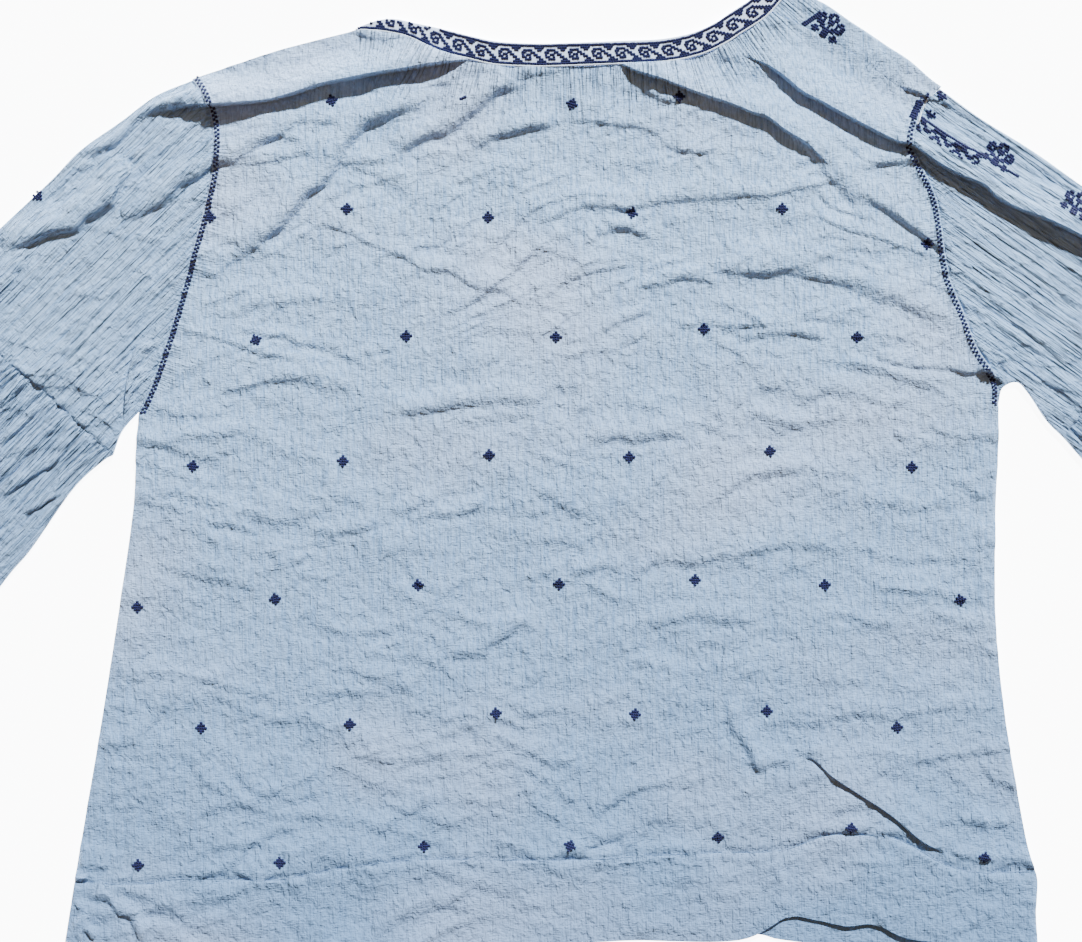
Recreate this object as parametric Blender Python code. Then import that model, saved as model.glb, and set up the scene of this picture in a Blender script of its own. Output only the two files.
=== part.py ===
"""Peasant blouse of crinkled cotton gauze, laid flat on its front with its back up.

Every table is in millimetres in the plan of the laid-out garment: X runs across it from the
middle of the back, Y runs up from the hem, and heights are above the surface it lies on.
The front panel lies on that surface, the back panel lies on the front panel, and each sleeve
and each flounce is a flattened tube. At the right shoulder the front panel rolls over the top
and its seam shows on the back.
"""

import math

import bmesh
import bpy
import numpy as np

MM = 0.001

# Cloth and seams
CLOTH = 1.2
BAND_CLOTH = 1.5
SEAM_GAP = 0.3
FLAT_HEIGHT = 3.2
TURN = FLAT_HEIGHT / 2
LAYER_GAP = 0.4
STEEPEST = 2.5

# How finely each piece is divided
SHOULDER_COLUMNS = 8
NECK_GATHERS = 21
NECK_COLUMNS = 2 * NECK_GATHERS
FRONT_HEM_POINTS = 10
FRONT_SHOULDER_COLUMNS = 5
FRONT_NECK_COLUMNS = 16
LOWER_ROWS = 16
UPPER_ROWS = 20
UPPER_START = 0.62
SLEEVE_ROWS = 10
FLOUNCE_GATHERS = 18
FLOUNCE_ROWS = 8
SLEEVE_HIDDEN_STEP = 2
FLOUNCE_HIDDEN_STEP = 4
TURN_ANGLES = (45, 0, -45)

# Gathers and waves
NECK_GATHER_HEIGHT = 1.8
NECK_GATHER_REACH = 0.11
FLOUNCE_GATHER_HEIGHT = 2.2
FLOUNCE_GATHER_REACH = 0.5
FLOUNCE_WAVES = 6
FLOUNCE_WAVE_HEIGHT = 2.9

# Columns: X and Y of points along each edge, in order
BACK_HEM = ((-345, 0), (-200, -2), (-60, -1), (18, 0), (50, 1), (120, 1), (153, 17), (174, 15),
            (194, 11), (214, 12), (245, 1), (326, -1))
FRONT_HEM = ((-343, 3), (-200, 3), (0, 6), (120, 6), (150, 1), (200, -3), (325, -3))
LEFT_SIDE = ((-345, 0), (-335, 63), (-321, 146), (-308, 229), (-298, 300), (-296, 340), (-294, 366))
LEFT_ARMHOLE = ((-294, 366), (-286, 384), (-273, 422), (-259, 471), (-248, 512), (-243, 540),
                (-243, 560), (-248, 580), (-257, 595))
LEFT_SHOULDER = ((-257, 595), (-244, 600), (-217, 609), (-192, 617), (-160, 625), (-145, 629.1))
RIGHT_SIDE = ((326, -1), (325, 22), (326, 43), (320, 63), (312, 105), (305, 146), (300, 188),
              (297, 229), (297, 291), (299, 340), (299, 371))
RIGHT_ARMHOLE = ((299, 371), (298, 388), (284, 411), (276, 433), (267, 455), (262, 478), (257, 512),
                 (247.5, 533), (239.5, 550), (243, 566), (249.8, 581))
SHOULDER_SEAM = ((142.2, 640.9), (151, 637.8), (165, 631.6), (179, 624.8), (194, 616.2), (210, 605),
                 (227, 593), (237, 586.5), (249.8, 581))
RIGHT_OUTLINE = ((158.8, 659.8), (172, 650), (181, 645), (196, 634.5), (208, 626.7), (222, 617.1),
                 (237, 607.4), (251.4, 594.8), (259, 589.3))
LEFT_ELBOW = ((-312, 336), (-338, 360), (-362, 382), (-390, 405), (-436, 449))
LEFT_UNDERARM = ((-294, 366), (-306, 352), (-312, 336))
LEFT_SLEEVE_TOP = ((-257, 595), (-283, 584), (-306, 567), (-335, 546.5), (-355, 526), (-390, 493),
                   (-436, 449))
RIGHT_ELBOW = ((344, 348), (375, 388), (406, 427), (436, 466))
RIGHT_UNDERARM = ((299, 371), (302, 382), (312, 386), (320, 378), (332, 360), (344, 348))
RIGHT_SLEEVE_TOP = ((259, 589.3), (272.5, 579.3), (290, 567), (323, 546.5), (352, 526), (436, 466))
LEFT_FLOUNCE_UNDER = ((-312, 336), (-320, 331), (-340, 312), (-369, 270.5), (-390, 245), (-450, 160))
LEFT_FLOUNCE_OVER = ((-436, 449), (-525, 381), (-614, 312))
LEFT_FLOUNCE_HEM = ((-450, 160), (-498, 190), (-542, 225), (-580, 266), (-614, 312))
RIGHT_FLOUNCE_UNDER = ((344, 348), (416, 265), (489, 183))
RIGHT_FLOUNCE_OVER = ((436, 466), (532, 409), (629.5, 351))
RIGHT_FLOUNCE_HEM = ((489, 183), (532, 218), (571, 257), (603, 302), (629.5, 351))

# Columns: X and Y on the neck opening, X and Y on the seam with the back panel
BAND_SECTIONS = (
    (-141.5, 631.8, -144.6, 629.4),
    (-129.6, 636.0, -135.7, 629.0),
    (-118.0, 637.1, -122.5, 627.7),
    (-105.0, 634.5, -108.5, 624.5),
    (-93.0, 632.0, -96.1, 618.8),
    (-80.0, 629.0, -83.5, 613.5),
    (-62.0, 624.5, -65.0, 609.0),
    (-45.0, 621.3, -47.0, 605.2),
    (-17.0, 620.0, -17.0, 604.0),
    (14.5, 621.0, 15.0, 605.0),
    (40.0, 622.0, 41.0, 606.0),
    (67.0, 623.3, 70.0, 607.5),
    (88.0, 627.5, 93.0, 612.2),
    (103.0, 634.0, 110.5, 620.0),
    (112.8, 640.5, 121.0, 626.8),
    (121.0, 645.8, 130.5, 632.7),
    (128.5, 651.0, 140.0, 639.6),
    (137.0, 660.0, 149.3, 650.0),
    (146.0, 670.5, 158.0, 660.5),
)

# The front neckline, hidden below, is the lower half of an ellipse slung between the shoulders
FRONT_NECK_LEFT = (-145.0, 629.1)
FRONT_NECK_RIGHT = RIGHT_OUTLINE[0]
FRONT_NECK_DROP = 135.0
FRONT_BAND_WIDTH = 16.0
STRIP_NECK_END = (SHOULDER_SEAM[0], (149.9, 649.6), RIGHT_OUTLINE[0])

# Columns: where the fold is, height, width of its gentle upper side, width of its steep lower
# side, and the points along its crest from left to right
FOLDS = (
    ("left shoulder", 7.5, 24, 11, ((-246, 577), (-218, 578), (-192, 583), (-176, 589), (-150, 595),
                                    (-114, 602), (-86, 607))),
    ("left armhole", 3.0, 18, 10, ((-240, 536), (-224, 542), (-206, 551), (-190, 558))),
    ("left diagonal", 4.0, 22, 10, ((-232, 462), (-208, 481), (-179, 511), (-155, 539), (-134, 562),
                                    (-110, 571), (-86, 582))),
    ("neck left", 3.0, 16, 10, ((-122, 536), (-92, 553), (-59, 573), (-31, 589))),
    ("neck middle", 2.6, 14, 9, ((-68, 544), (-46, 553), (-21, 560), (-7, 561))),
    ("right inner", 6.5, 22, 11, ((39, 606), (70, 592), (110, 581), (139, 571), (170, 548), (190, 522),
                                  (219, 506), (246, 488))),
    ("right shoulder", 10.0, 30, 12, ((112, 616), (139, 605), (163, 586), (195, 569), (226, 555),
                                      (244, 546))),
    ("middle left", 2.6, 24, 12, ((-128, 357), (-78, 368), (-43, 371), (-12, 373))),
    ("middle right", 2.4, 22, 12, ((15, 346), (44, 346), (68, 349), (80, 349), (90, 342))),
    ("centre dip", 1.8, 20, 12, ((-66, 206), (-51, 202), (-38, 213), (-19, 222))),
    ("lower right", 5.5, 26, 12, ((139, 124), (169, 131), (182, 118), (211, 96), (236, 77), (267, 57),
                                  (285, 58))),
    ("hem right", 3.0, 16, 10, ((147, 63), (172, 70), (202, 74), (229, 71), (250, 66))),
    ("hem left", 2.6, 16, 10, ((-332, 30), (-318, 30), (-306, 20), (-296, 8))),
    ("left sleeve top", 2.4, 16, 10, ((-326, 546), (-312, 548), (-298, 555), (-284, 563))),
    ("left sleeve long", 3.0, 20, 12, ((-383, 475), (-344, 491), (-321, 503), (-305, 520),
                                       (-290, 535))),
    ("left sleeve inner", 2.4, 16, 10, ((-310, 492), (-278, 506), (-264, 520), (-250, 529))),
    ("right sleeve long", 3.0, 26, 14, ((252, 541), (282, 522), (314, 505), (357, 486), (410, 456))),
)
FOLD_TAPER = 0.22
FOLD_BLEND = 3

# Colours of the materials, as sRGB
CLOTH_COLOUR = "b4c4d5"
BAND_COLOUR = "8f9cc0"


def linear_colour(code):
    """Turn an sRGB colour code into the linear values that a shader takes."""
    shares = [int(code[i:i + 2], 16) / 255 for i in (0, 2, 4)]
    return [s / 12.92 if s <= 0.04045 else ((s + 0.055) / 1.055) ** 2.4 for s in shares] + [1.0]


def ease(value):
    """Rise smoothly from 0 to 1 as the value does, and stay flat outside."""
    value = np.clip(value, 0.0, 1.0)
    return value * value * (3 - 2 * value)


def smooth_line(points, steps=8):
    """Return a function of 0 to 1 that runs evenly along a smooth line through the points."""
    knots = np.array(points, dtype=float)
    padded = np.vstack([2 * knots[0] - knots[1], knots, 2 * knots[-1] - knots[-2]])
    part = np.linspace(0, 1, steps, endpoint=False)[:, None]
    pieces = []
    for a, b, c, d in zip(padded, padded[1:], padded[2:], padded[3:]):
        bend = (2 * a - 5 * b + 4 * c - d) * part ** 2 + (3 * b - a - 3 * c + d) * part ** 3
        pieces.append(b + 0.5 * ((c - a) * part + bend))
    dense = np.vstack(pieces + [knots[-1:]])
    reach = np.append(0, np.cumsum(np.linalg.norm(np.diff(dense, axis=0), axis=1)))
    reach /= reach[-1]

    def at(fraction):
        x = np.interp(fraction, reach, dense[:, 0])
        y = np.interp(fraction, reach, dense[:, 1])
        return np.stack([x, y], axis=-1)

    return at


def joined(lines, shares):
    """Run through several lines in turn, each over its share of 0 to 1."""
    ends = np.append(0, np.cumsum(shares)) / sum(shares)

    def at(fraction):
        fraction = np.asarray(fraction, dtype=float)
        place = lines[0](np.clip(fraction / ends[1], 0, 1))
        for line, start, end in zip(lines[1:], ends[1:], ends[2:]):
            local = np.clip((fraction - start) / (end - start), 0, 1)
            place = np.where((fraction > start)[..., None], line(local), place)
        return place

    return at


def beside(line, distance):
    """Return the same line moved sideways, to its left for a positive distance."""
    def at(fraction):
        fraction = np.asarray(fraction, dtype=float)
        along = line(np.clip(fraction + 0.01, 0, 1)) - line(np.clip(fraction - 0.01, 0, 1))
        along /= np.linalg.norm(along, axis=-1, keepdims=True)
        left = np.stack([-along[..., 1], along[..., 0]], axis=-1)
        return line(fraction) + distance * left

    return at


def fill(bottom, top, left, right, across, up):
    """Spread points between four edge lines, for fractions across and up.

    The left and right lines are drawn to the ends of the bottom and top lines.
    """
    a, b = np.broadcast_arrays(across, up)
    left_side = left(b)
    right_side = right(b)
    a_share = a[..., None]
    b_share = b[..., None]
    left_side = left_side + (1 - b_share) * (bottom(0) - left(0)) + b_share * (top(0) - left(1))
    right_side = right_side + (1 - b_share) * (bottom(1) - right(0)) + b_share * (top(1) - right(1))
    corners = (1 - a_share) * ((1 - b_share) * bottom(0) + b_share * top(0))
    corners = corners + a_share * ((1 - b_share) * bottom(1) + b_share * top(1))
    ends = (1 - b_share) * bottom(a) + b_share * top(a)
    sides = (1 - a_share) * left_side + a_share * right_side
    return ends + sides - corners


def one_fold(x, y, height, gentle, steep, crest):
    """Height of one fold: a soft ridge along its crest that tapers at both ends."""
    points = np.array(crest, dtype=float)
    spans = np.linalg.norm(np.diff(points, axis=0), axis=1)
    total = spans.sum()
    nearest = np.full(x.shape, np.inf)
    upper_side = np.zeros(x.shape, dtype=bool)
    run = np.zeros(x.shape)
    passed = 0.0
    for start, end, span in zip(points, points[1:], spans):
        along = (end - start) / span
        reach = np.clip((x - start[0]) * along[0] + (y - start[1]) * along[1], 0, span)
        off_x = x - start[0] - reach * along[0]
        off_y = y - start[1] - reach * along[1]
        distance = np.hypot(off_x, off_y)
        closer = distance < nearest
        nearest = np.where(closer, distance, nearest)
        upper_side = np.where(closer, along[0] * off_y - along[1] * off_x > 0, upper_side)
        run = np.where(closer, (passed + reach) / total, run)
        passed += span
    width = np.where(upper_side, gentle, steep)
    taper = ease(np.minimum(run, 1 - run) / FOLD_TAPER)
    return height * taper * ease(1 - nearest / width)


def fold_height(plan):
    """Height of all folds above the flat cloth, at an array of plan points."""
    x = plan[..., 0]
    y = plan[..., 1]
    total = np.zeros(x.shape)
    for _, height, gentle, steep, crest in FOLDS:
        total += one_fold(x, y, height, gentle, steep, crest) ** FOLD_BLEND
    return total ** (1 / FOLD_BLEND)


def wall_under(plan, top):
    """Height of a layer's underside: the cloth's thickness measured square to its slope."""
    slope_across = np.gradient(top, axis=1) / np.linalg.norm(np.gradient(plan, axis=1), axis=-1)
    slope_up = np.gradient(top, axis=0) / np.linalg.norm(np.gradient(plan, axis=0), axis=-1)
    slant = np.minimum(np.sqrt(1 + slope_across ** 2 + slope_up ** 2), STEEPEST)
    return np.maximum(top - CLOTH * slant, CLOTH + LAYER_GAP)


def raised(plan, height):
    """Put a height, one value or an array, onto plan points."""
    heights = np.broadcast_to(height, plan.shape[:-1])
    return np.concatenate([plan, heights[..., None]], axis=-1)


def add_grid(mesh, outer, inner, first_row=None, closed_round=False):
    """Add a grid of cloth to a mesh; each point remembers the step to the wall's inner face."""
    step_in = mesh.verts.layers.float_vector["step_in"]
    rows = []
    for outer_row, inner_row in zip(outer, inner):
        row = []
        for point, behind in zip(outer_row, inner_row):
            vert = mesh.verts.new(point * MM)
            vert[step_in] = (behind - point) * MM
            row.append(vert)
        rows.append(row)
    if first_row is not None:
        rows.insert(0, first_row)
    for row, next_row in zip(rows, rows[1:]):
        for i in range(len(row) if closed_round else len(row) - 1):
            j = (i + 1) % len(row)
            mesh.faces.new((row[i], row[j], next_row[j], next_row[i]))
    return rows


def start_mesh():
    """Start a mesh whose points can remember a step to the wall's inner face."""
    mesh = bmesh.new()
    mesh.verts.layers.float_vector.new("step_in")
    return mesh


def cloth_object(name, mesh, colour):
    """Thicken a sheet by extruding it inward, and make an object of it with its own material."""
    mesh.normal_update()
    bmesh.ops.triangulate(mesh, faces=mesh.faces[:], quad_method="FIXED")
    wall = bmesh.ops.extrude_face_region(mesh, geom=mesh.faces[:], use_keep_orig=True)
    step_in = mesh.verts.layers.float_vector["step_in"]
    for item in wall["geom"]:
        if isinstance(item, bmesh.types.BMVert):
            item.co += item[step_in]
    bmesh.ops.triangulate(mesh, faces=mesh.faces[:], quad_method="FIXED")
    bmesh.ops.recalc_face_normals(mesh, faces=mesh.faces[:])
    mesh.verts.layers.float_vector.remove(step_in)

    corner = np.array([vert.co for vert in mesh.verts])
    middle = (corner.min(axis=0) + corner.max(axis=0)) / 2
    middle[2] = 0.0
    bmesh.ops.translate(mesh, vec=-middle, verts=mesh.verts[:])
    data = bpy.data.meshes.new(name)
    mesh.to_mesh(data)
    mesh.free()
    data.shade_smooth()
    data.set_sharp_from_angle(angle=math.radians(50))

    material = bpy.data.materials.new(name + "_gauze")
    material.use_nodes = True
    shader = material.node_tree.nodes["Principled BSDF"]
    shader.inputs["Base Color"].default_value = linear_colour(colour)
    shader.inputs["Roughness"].default_value = 0.9
    data.materials.append(material)
    piece = bpy.data.objects.new(name, data)
    piece.location = middle
    bpy.context.scene.collection.objects.link(piece)
    return piece


def body_rows():
    """Fractions from the hem to the shoulders, closer together where the folds are."""
    lower = np.linspace(0, UPPER_START, LOWER_ROWS, endpoint=False)
    upper = np.linspace(UPPER_START, 1, UPPER_ROWS + 1)
    return np.append(lower, upper)[:, None]


def back_panel():
    """The back, gathered into the neck band and laid on the front."""
    columns = 2 * SHOULDER_COLUMNS + NECK_COLUMNS
    across = np.linspace(0, 1, columns + 1)[None, :]
    up = body_rows()
    seam = smooth_line([section[2:] for section in BAND_SECTIONS])
    meets_strip = seam_share(seam, SHOULDER_SEAM[0])
    neck = beside(lambda fraction: seam(np.asarray(fraction) * meets_strip), -SEAM_GAP)
    top = joined((smooth_line(LEFT_SHOULDER), neck, smooth_line(SHOULDER_SEAM)),
                 (SHOULDER_COLUMNS, NECK_COLUMNS, SHOULDER_COLUMNS))
    left = joined((smooth_line(LEFT_SIDE), smooth_line(LEFT_ARMHOLE)), (UPPER_START, 1 - UPPER_START))
    right = joined((smooth_line(RIGHT_SIDE), smooth_line(RIGHT_ARMHOLE)), (UPPER_START, 1 - UPPER_START))
    plan = fill(smooth_line(BACK_HEM), top, left, right, across, up)

    column = across * columns - SHOULDER_COLUMNS
    crest = 0.5 - 0.5 * np.cos(math.pi * column)
    on_neck = (column > 0) & (column < NECK_COLUMNS)
    fade = ease(1 - (1 - up) / NECK_GATHER_REACH)
    height = FLAT_HEIGHT + fold_height(plan) + NECK_GATHER_HEIGHT * crest * on_neck * fade

    mesh = start_mesh()
    add_grid(mesh, raised(plan, height), raised(plan, wall_under(plan, height)))
    return cloth_object("back_panel", mesh, CLOTH_COLOUR)


def seam_share(line, point):
    """Find how far along a line it passes nearest to a point."""
    fractions = np.linspace(0, 1, 2001)
    distances = np.linalg.norm(line(fractions) - np.array(point), axis=1)
    return fractions[distances.argmin()]


def hidden_shares(columns, step):
    """Places of a tube's lower layer: every second or fourth place of its upper layer."""
    return np.append(np.arange(0, columns, step), columns) / columns


def rolled_armhole():
    """The right armhole, carried on over the rolled strip to the outline."""
    strip_end = smooth_line((RIGHT_ARMHOLE[-1], RIGHT_OUTLINE[-1]))
    return joined((smooth_line(RIGHT_ARMHOLE), strip_end), (UPPER_ROWS, 1))


def front_neckline(inset):
    """The neckline's half ellipse, drawn in from the panel's edge by an inset."""
    left = np.array(FRONT_NECK_LEFT)
    right = np.array(FRONT_NECK_RIGHT)
    along = (right - left) / np.linalg.norm(right - left)
    left = left + inset * along
    right = right - inset * along

    def at(fraction):
        turn = math.pi * np.asarray(fraction, dtype=float)[..., None]
        chord = (left + right) / 2 + (left - right) / 2 * np.cos(turn)
        return chord - np.array((0, FRONT_NECK_DROP - inset)) * np.sin(turn)

    return at


def front_panel():
    """The front, flat on the surface; over the right shoulder it rolls onto the back."""
    neckline = front_neckline(0)
    edges = (
        (smooth_line(FRONT_HEM), np.linspace(0, 1, FRONT_HEM_POINTS)),
        (smooth_line(RIGHT_SIDE), np.linspace(0, 1, LOWER_ROWS + 1)),
        (rolled_armhole(), hidden_shares(UPPER_ROWS + 1, SLEEVE_HIDDEN_STEP)),
        (smooth_line(RIGHT_OUTLINE), np.linspace(1, 0, SHOULDER_COLUMNS + 1)),
        (neckline, np.linspace(1, 0, FRONT_NECK_COLUMNS + 1)),
        (smooth_line(LEFT_SHOULDER), np.linspace(1, 0, FRONT_SHOULDER_COLUMNS + 1)),
        (smooth_line(LEFT_ARMHOLE), hidden_shares(UPPER_ROWS, SLEEVE_HIDDEN_STEP)[::-1]),
        (smooth_line(LEFT_SIDE), np.linspace(1, 0, LOWER_ROWS + 1)),
    )
    mesh = start_mesh()
    step_in = mesh.verts.layers.float_vector["step_in"]
    rim = []
    roll_start = sum(len(shares) - 1 for _, shares in edges[:3])
    for line, shares in edges:
        for share in shares[:-1]:
            vert = mesh.verts.new(np.append(line(share), 0.0) * MM)
            vert[step_in] = (0.0, 0.0, CLOTH * MM)
            rim.append(vert)
    mesh.faces.new(rim)
    rolled_verts = rim[roll_start:roll_start + SHOULDER_COLUMNS + 1][::-1]

    rolled = np.linspace(0, 1, SHOULDER_COLUMNS + 1)
    edge_line = smooth_line(RIGHT_OUTLINE)
    outward = beside(edge_line, 1.0)(rolled) - edge_line(rolled)
    seam = beside(smooth_line(SHOULDER_SEAM), SEAM_GAP)
    sleeve_end = smooth_line((SHOULDER_SEAM[-1], RIGHT_OUTLINE[-1]))
    strip = fill(seam, edge_line, smooth_line(STRIP_NECK_END), sleeve_end, rolled[None, :],
                 np.linspace(1, 0, 3)[:, None])
    outer = []
    inner = []
    for angle in reversed(TURN_ANGLES):
        reach = math.cos(math.radians(angle))
        rise = math.sin(math.radians(angle))
        outer.append(raised(edge_line(rolled) + outward * TURN * reach, TURN * (1 + rise)))
        inner.append(raised(edge_line(rolled) + outward * (TURN - CLOTH) * reach,
                            TURN + (TURN - CLOTH) * rise))
    for row in strip:
        outer.append(raised(row, FLAT_HEIGHT))
        inner.append(raised(row, FLAT_HEIGHT - CLOTH))
    add_grid(mesh, outer, inner, first_row=rolled_verts)
    return cloth_object("front_panel", mesh, CLOTH_COLOUR)


def neck_band_back():
    """The band along the back of the neck, cloth folded double."""
    columns = np.linspace(0, 1, NECK_COLUMNS + 1)
    opening = smooth_line([section[:2] for section in BAND_SECTIONS])(columns)
    seam = smooth_line([section[2:] for section in BAND_SECTIONS])(columns)
    plan = np.stack([seam, opening])
    mesh = start_mesh()
    add_grid(mesh, raised(plan, FLAT_HEIGHT), raised(plan, FLAT_HEIGHT - BAND_CLOTH))
    return cloth_object("neck_band_back", mesh, BAND_COLOUR)


def neck_band_front():
    """The band along the front of the neck, flat on the surface below the back."""
    columns = np.linspace(0, 1, FRONT_NECK_COLUMNS + 1)
    seam = front_neckline(SEAM_GAP)(columns)
    opening = front_neckline(FRONT_BAND_WIDTH)(columns)
    plan = np.stack([seam, opening])
    mesh = start_mesh()
    add_grid(mesh, raised(plan, 0.0), raised(plan, CLOTH))
    return cloth_object("neck_band_front", mesh, BAND_COLOUR)


def turned_edge(edge, outward, top, angles):
    """Points of a flattened tube's fold, from one layer round to the other."""
    outer = []
    inner = []
    for angle in angles:
        reach = math.cos(math.radians(angle))
        rise = math.sin(math.radians(angle))
        half = top / 2
        outer.append(np.append(edge + outward * TURN * reach, half * (1 + rise)))
        inner.append(np.append(edge + outward * (TURN - CLOTH) * reach, half + (half - CLOTH) * rise))
    return outer, inner


def flat_tube(name, near, far, under, over, columns, hidden_step, rows, waves):
    """A flattened tube of cloth between two seams, from its underarm fold to its top fold."""
    up = np.linspace(0, 1, rows + 1)[:, None]
    ends = fill(near, far, under, over, np.array((0.0, 1.0))[None, :], up)
    inset = TURN / np.linalg.norm(ends[:, 1] - ends[:, 0], axis=1)[:, None]
    share = np.linspace(0, 1, columns + 1)[None, :]
    upper = fill(near, far, under, over, np.clip(share, inset, 1 - inset), up)
    edge_fade = ease(np.minimum(share, 1 - share) / 0.08)
    height = FLAT_HEIGHT + edge_fade * (fold_height(upper) ** 3 + waves(share, up) ** 3) ** (1 / 3)
    underside = wall_under(upper, height)
    hidden_share = hidden_shares(columns, hidden_step)[None, ::-1]
    lower = fill(near, far, under, over, np.clip(hidden_share, inset, 1 - inset), up)

    outer = []
    inner = []
    for i in range(rows + 1):
        over_out = upper[i, -1] - upper[i, -2]
        under_out = upper[i, 0] - upper[i, 1]
        over_out /= np.linalg.norm(over_out)
        under_out /= np.linalg.norm(under_out)
        over_turn = turned_edge(upper[i, -1], over_out, height[i, -1], TURN_ANGLES)
        under_turn = turned_edge(upper[i, 0], under_out, height[i, 0], TURN_ANGLES[::-1])
        outer.append(np.vstack([raised(upper[i], height[i]), over_turn[0], raised(lower[i], 0.0),
                                under_turn[0]]))
        inner.append(np.vstack([raised(upper[i], underside[i]), over_turn[1], raised(lower[i], CLOTH),
                                under_turn[1]]))
    mesh = start_mesh()
    add_grid(mesh, outer, inner, closed_round=True)
    return cloth_object(name, mesh, CLOTH_COLOUR)


def no_waves(share, up):
    """A sleeve has only the folds of the table."""
    return np.zeros(np.broadcast(share, up).shape)


def flounce_waves(share, up):
    """Tight gathers at the elbow seam that run together into a few waves at the hem."""
    gathers = 0.5 - 0.5 * np.cos(2 * math.pi * FLOUNCE_GATHERS * share)
    waves = 0.5 - 0.5 * np.cos(2 * math.pi * FLOUNCE_WAVES * share)
    gather_fade = ease(1 - up / FLOUNCE_GATHER_REACH)
    return FLOUNCE_GATHER_HEIGHT * gathers * gather_fade + FLOUNCE_WAVE_HEIGHT * waves * ease(up)


def sleeves_and_flounces():
    """Both arms; a positive sideways distance is away from the body on the left arm only."""
    arms = (
        ("left", 1, smooth_line(LEFT_ARMHOLE), UPPER_ROWS, LEFT_ELBOW, LEFT_UNDERARM,
         LEFT_SLEEVE_TOP, LEFT_FLOUNCE_HEM, LEFT_FLOUNCE_UNDER, LEFT_FLOUNCE_OVER),
        ("right", -1, rolled_armhole(), UPPER_ROWS + 1, RIGHT_ELBOW, RIGHT_UNDERARM,
         RIGHT_SLEEVE_TOP, RIGHT_FLOUNCE_HEM, RIGHT_FLOUNCE_UNDER, RIGHT_FLOUNCE_OVER),
    )
    pieces = []
    for side, away, armhole, columns, elbow, underarm, sleeve_top, hem, under, over in arms:
        armhole_seam = beside(armhole, away * SEAM_GAP)
        sleeve_end = beside(smooth_line(elbow), -away * SEAM_GAP / 2)
        flounce_start = beside(smooth_line(elbow), away * SEAM_GAP / 2)
        pieces.append(flat_tube("sleeve_" + side, armhole_seam, sleeve_end, smooth_line(underarm),
                                smooth_line(sleeve_top), columns, SLEEVE_HIDDEN_STEP, SLEEVE_ROWS,
                                no_waves))
        pieces.append(flat_tube("flounce_" + side, flounce_start, smooth_line(hem), smooth_line(under),
                                smooth_line(over), 2 * FLOUNCE_GATHERS, FLOUNCE_HIDDEN_STEP,
                                FLOUNCE_ROWS, flounce_waves))
    return pieces


def main():
    for item in list(bpy.data.objects):
        bpy.data.objects.remove(item, do_unlink=True)
    pieces = [front_panel(), back_panel(), neck_band_front(), neck_band_back()]
    pieces += sleeves_and_flounces()

    # The blouse's own origin is on the surface below the middle of its outline
    corners = np.array([piece.location + vert.co for piece in pieces for vert in piece.data.vertices])
    middle = (corners.min(axis=0) + corners.max(axis=0)) / 2
    blouse = bpy.data.objects.new("blouse", None)
    bpy.context.scene.collection.objects.link(blouse)
    blouse.location = (-middle[0], -middle[1], 0.0)
    for piece in pieces:
        piece.parent = blouse


main()
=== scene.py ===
"""Looks of a peasant blouse of crinkled cotton gauze, laid flat on its front with its back up.

Tables are in millimetres in the plan of the laid-out blouse: X runs across it from the middle of
the back, Y runs up from the hem, and heights are above the surface it lies on.
"""

import math
from types import SimpleNamespace

import bmesh
import bpy
import numpy as np
from mathutils.geometry import delaunay_2d_cdt
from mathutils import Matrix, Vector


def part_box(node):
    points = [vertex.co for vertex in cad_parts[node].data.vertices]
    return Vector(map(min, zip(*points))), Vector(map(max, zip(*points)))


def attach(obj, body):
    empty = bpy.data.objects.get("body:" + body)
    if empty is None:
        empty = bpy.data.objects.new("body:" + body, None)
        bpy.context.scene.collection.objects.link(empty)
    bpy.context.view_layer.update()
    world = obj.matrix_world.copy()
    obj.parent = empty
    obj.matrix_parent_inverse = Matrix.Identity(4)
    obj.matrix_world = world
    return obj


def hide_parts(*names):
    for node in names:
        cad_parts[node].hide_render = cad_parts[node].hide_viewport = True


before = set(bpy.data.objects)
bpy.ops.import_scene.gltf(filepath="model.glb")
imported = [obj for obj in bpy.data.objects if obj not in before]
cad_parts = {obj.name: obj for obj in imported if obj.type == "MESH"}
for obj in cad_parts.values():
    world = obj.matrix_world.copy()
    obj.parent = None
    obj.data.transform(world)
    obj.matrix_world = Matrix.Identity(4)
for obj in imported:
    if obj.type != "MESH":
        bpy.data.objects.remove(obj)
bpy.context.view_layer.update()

# Place of the tables in the frame: the band's left end and its top end are known in both
MM = 0.001
BAND_LEFT = -144.6
BAND_TOP = 670.5
band_low, band_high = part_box("neck_band_back")
SHIFT = np.array((band_low.x / MM - BAND_LEFT, band_high.y / MM - BAND_TOP, 0.0))

# Heights of the flat back's top and of the front's top, and the lowest that the back's top may go;
# thickness of one layer, distance between the pieces at a seam, and radius of a turned edge
FLAT_HEIGHT = 3.2
FRONT_TOP = 1.1
LOWEST_BACK = 2.2
CLOTH = 0.8
SEAM_GAP = 0.08
TURN = FLAT_HEIGHT / 2

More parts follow.
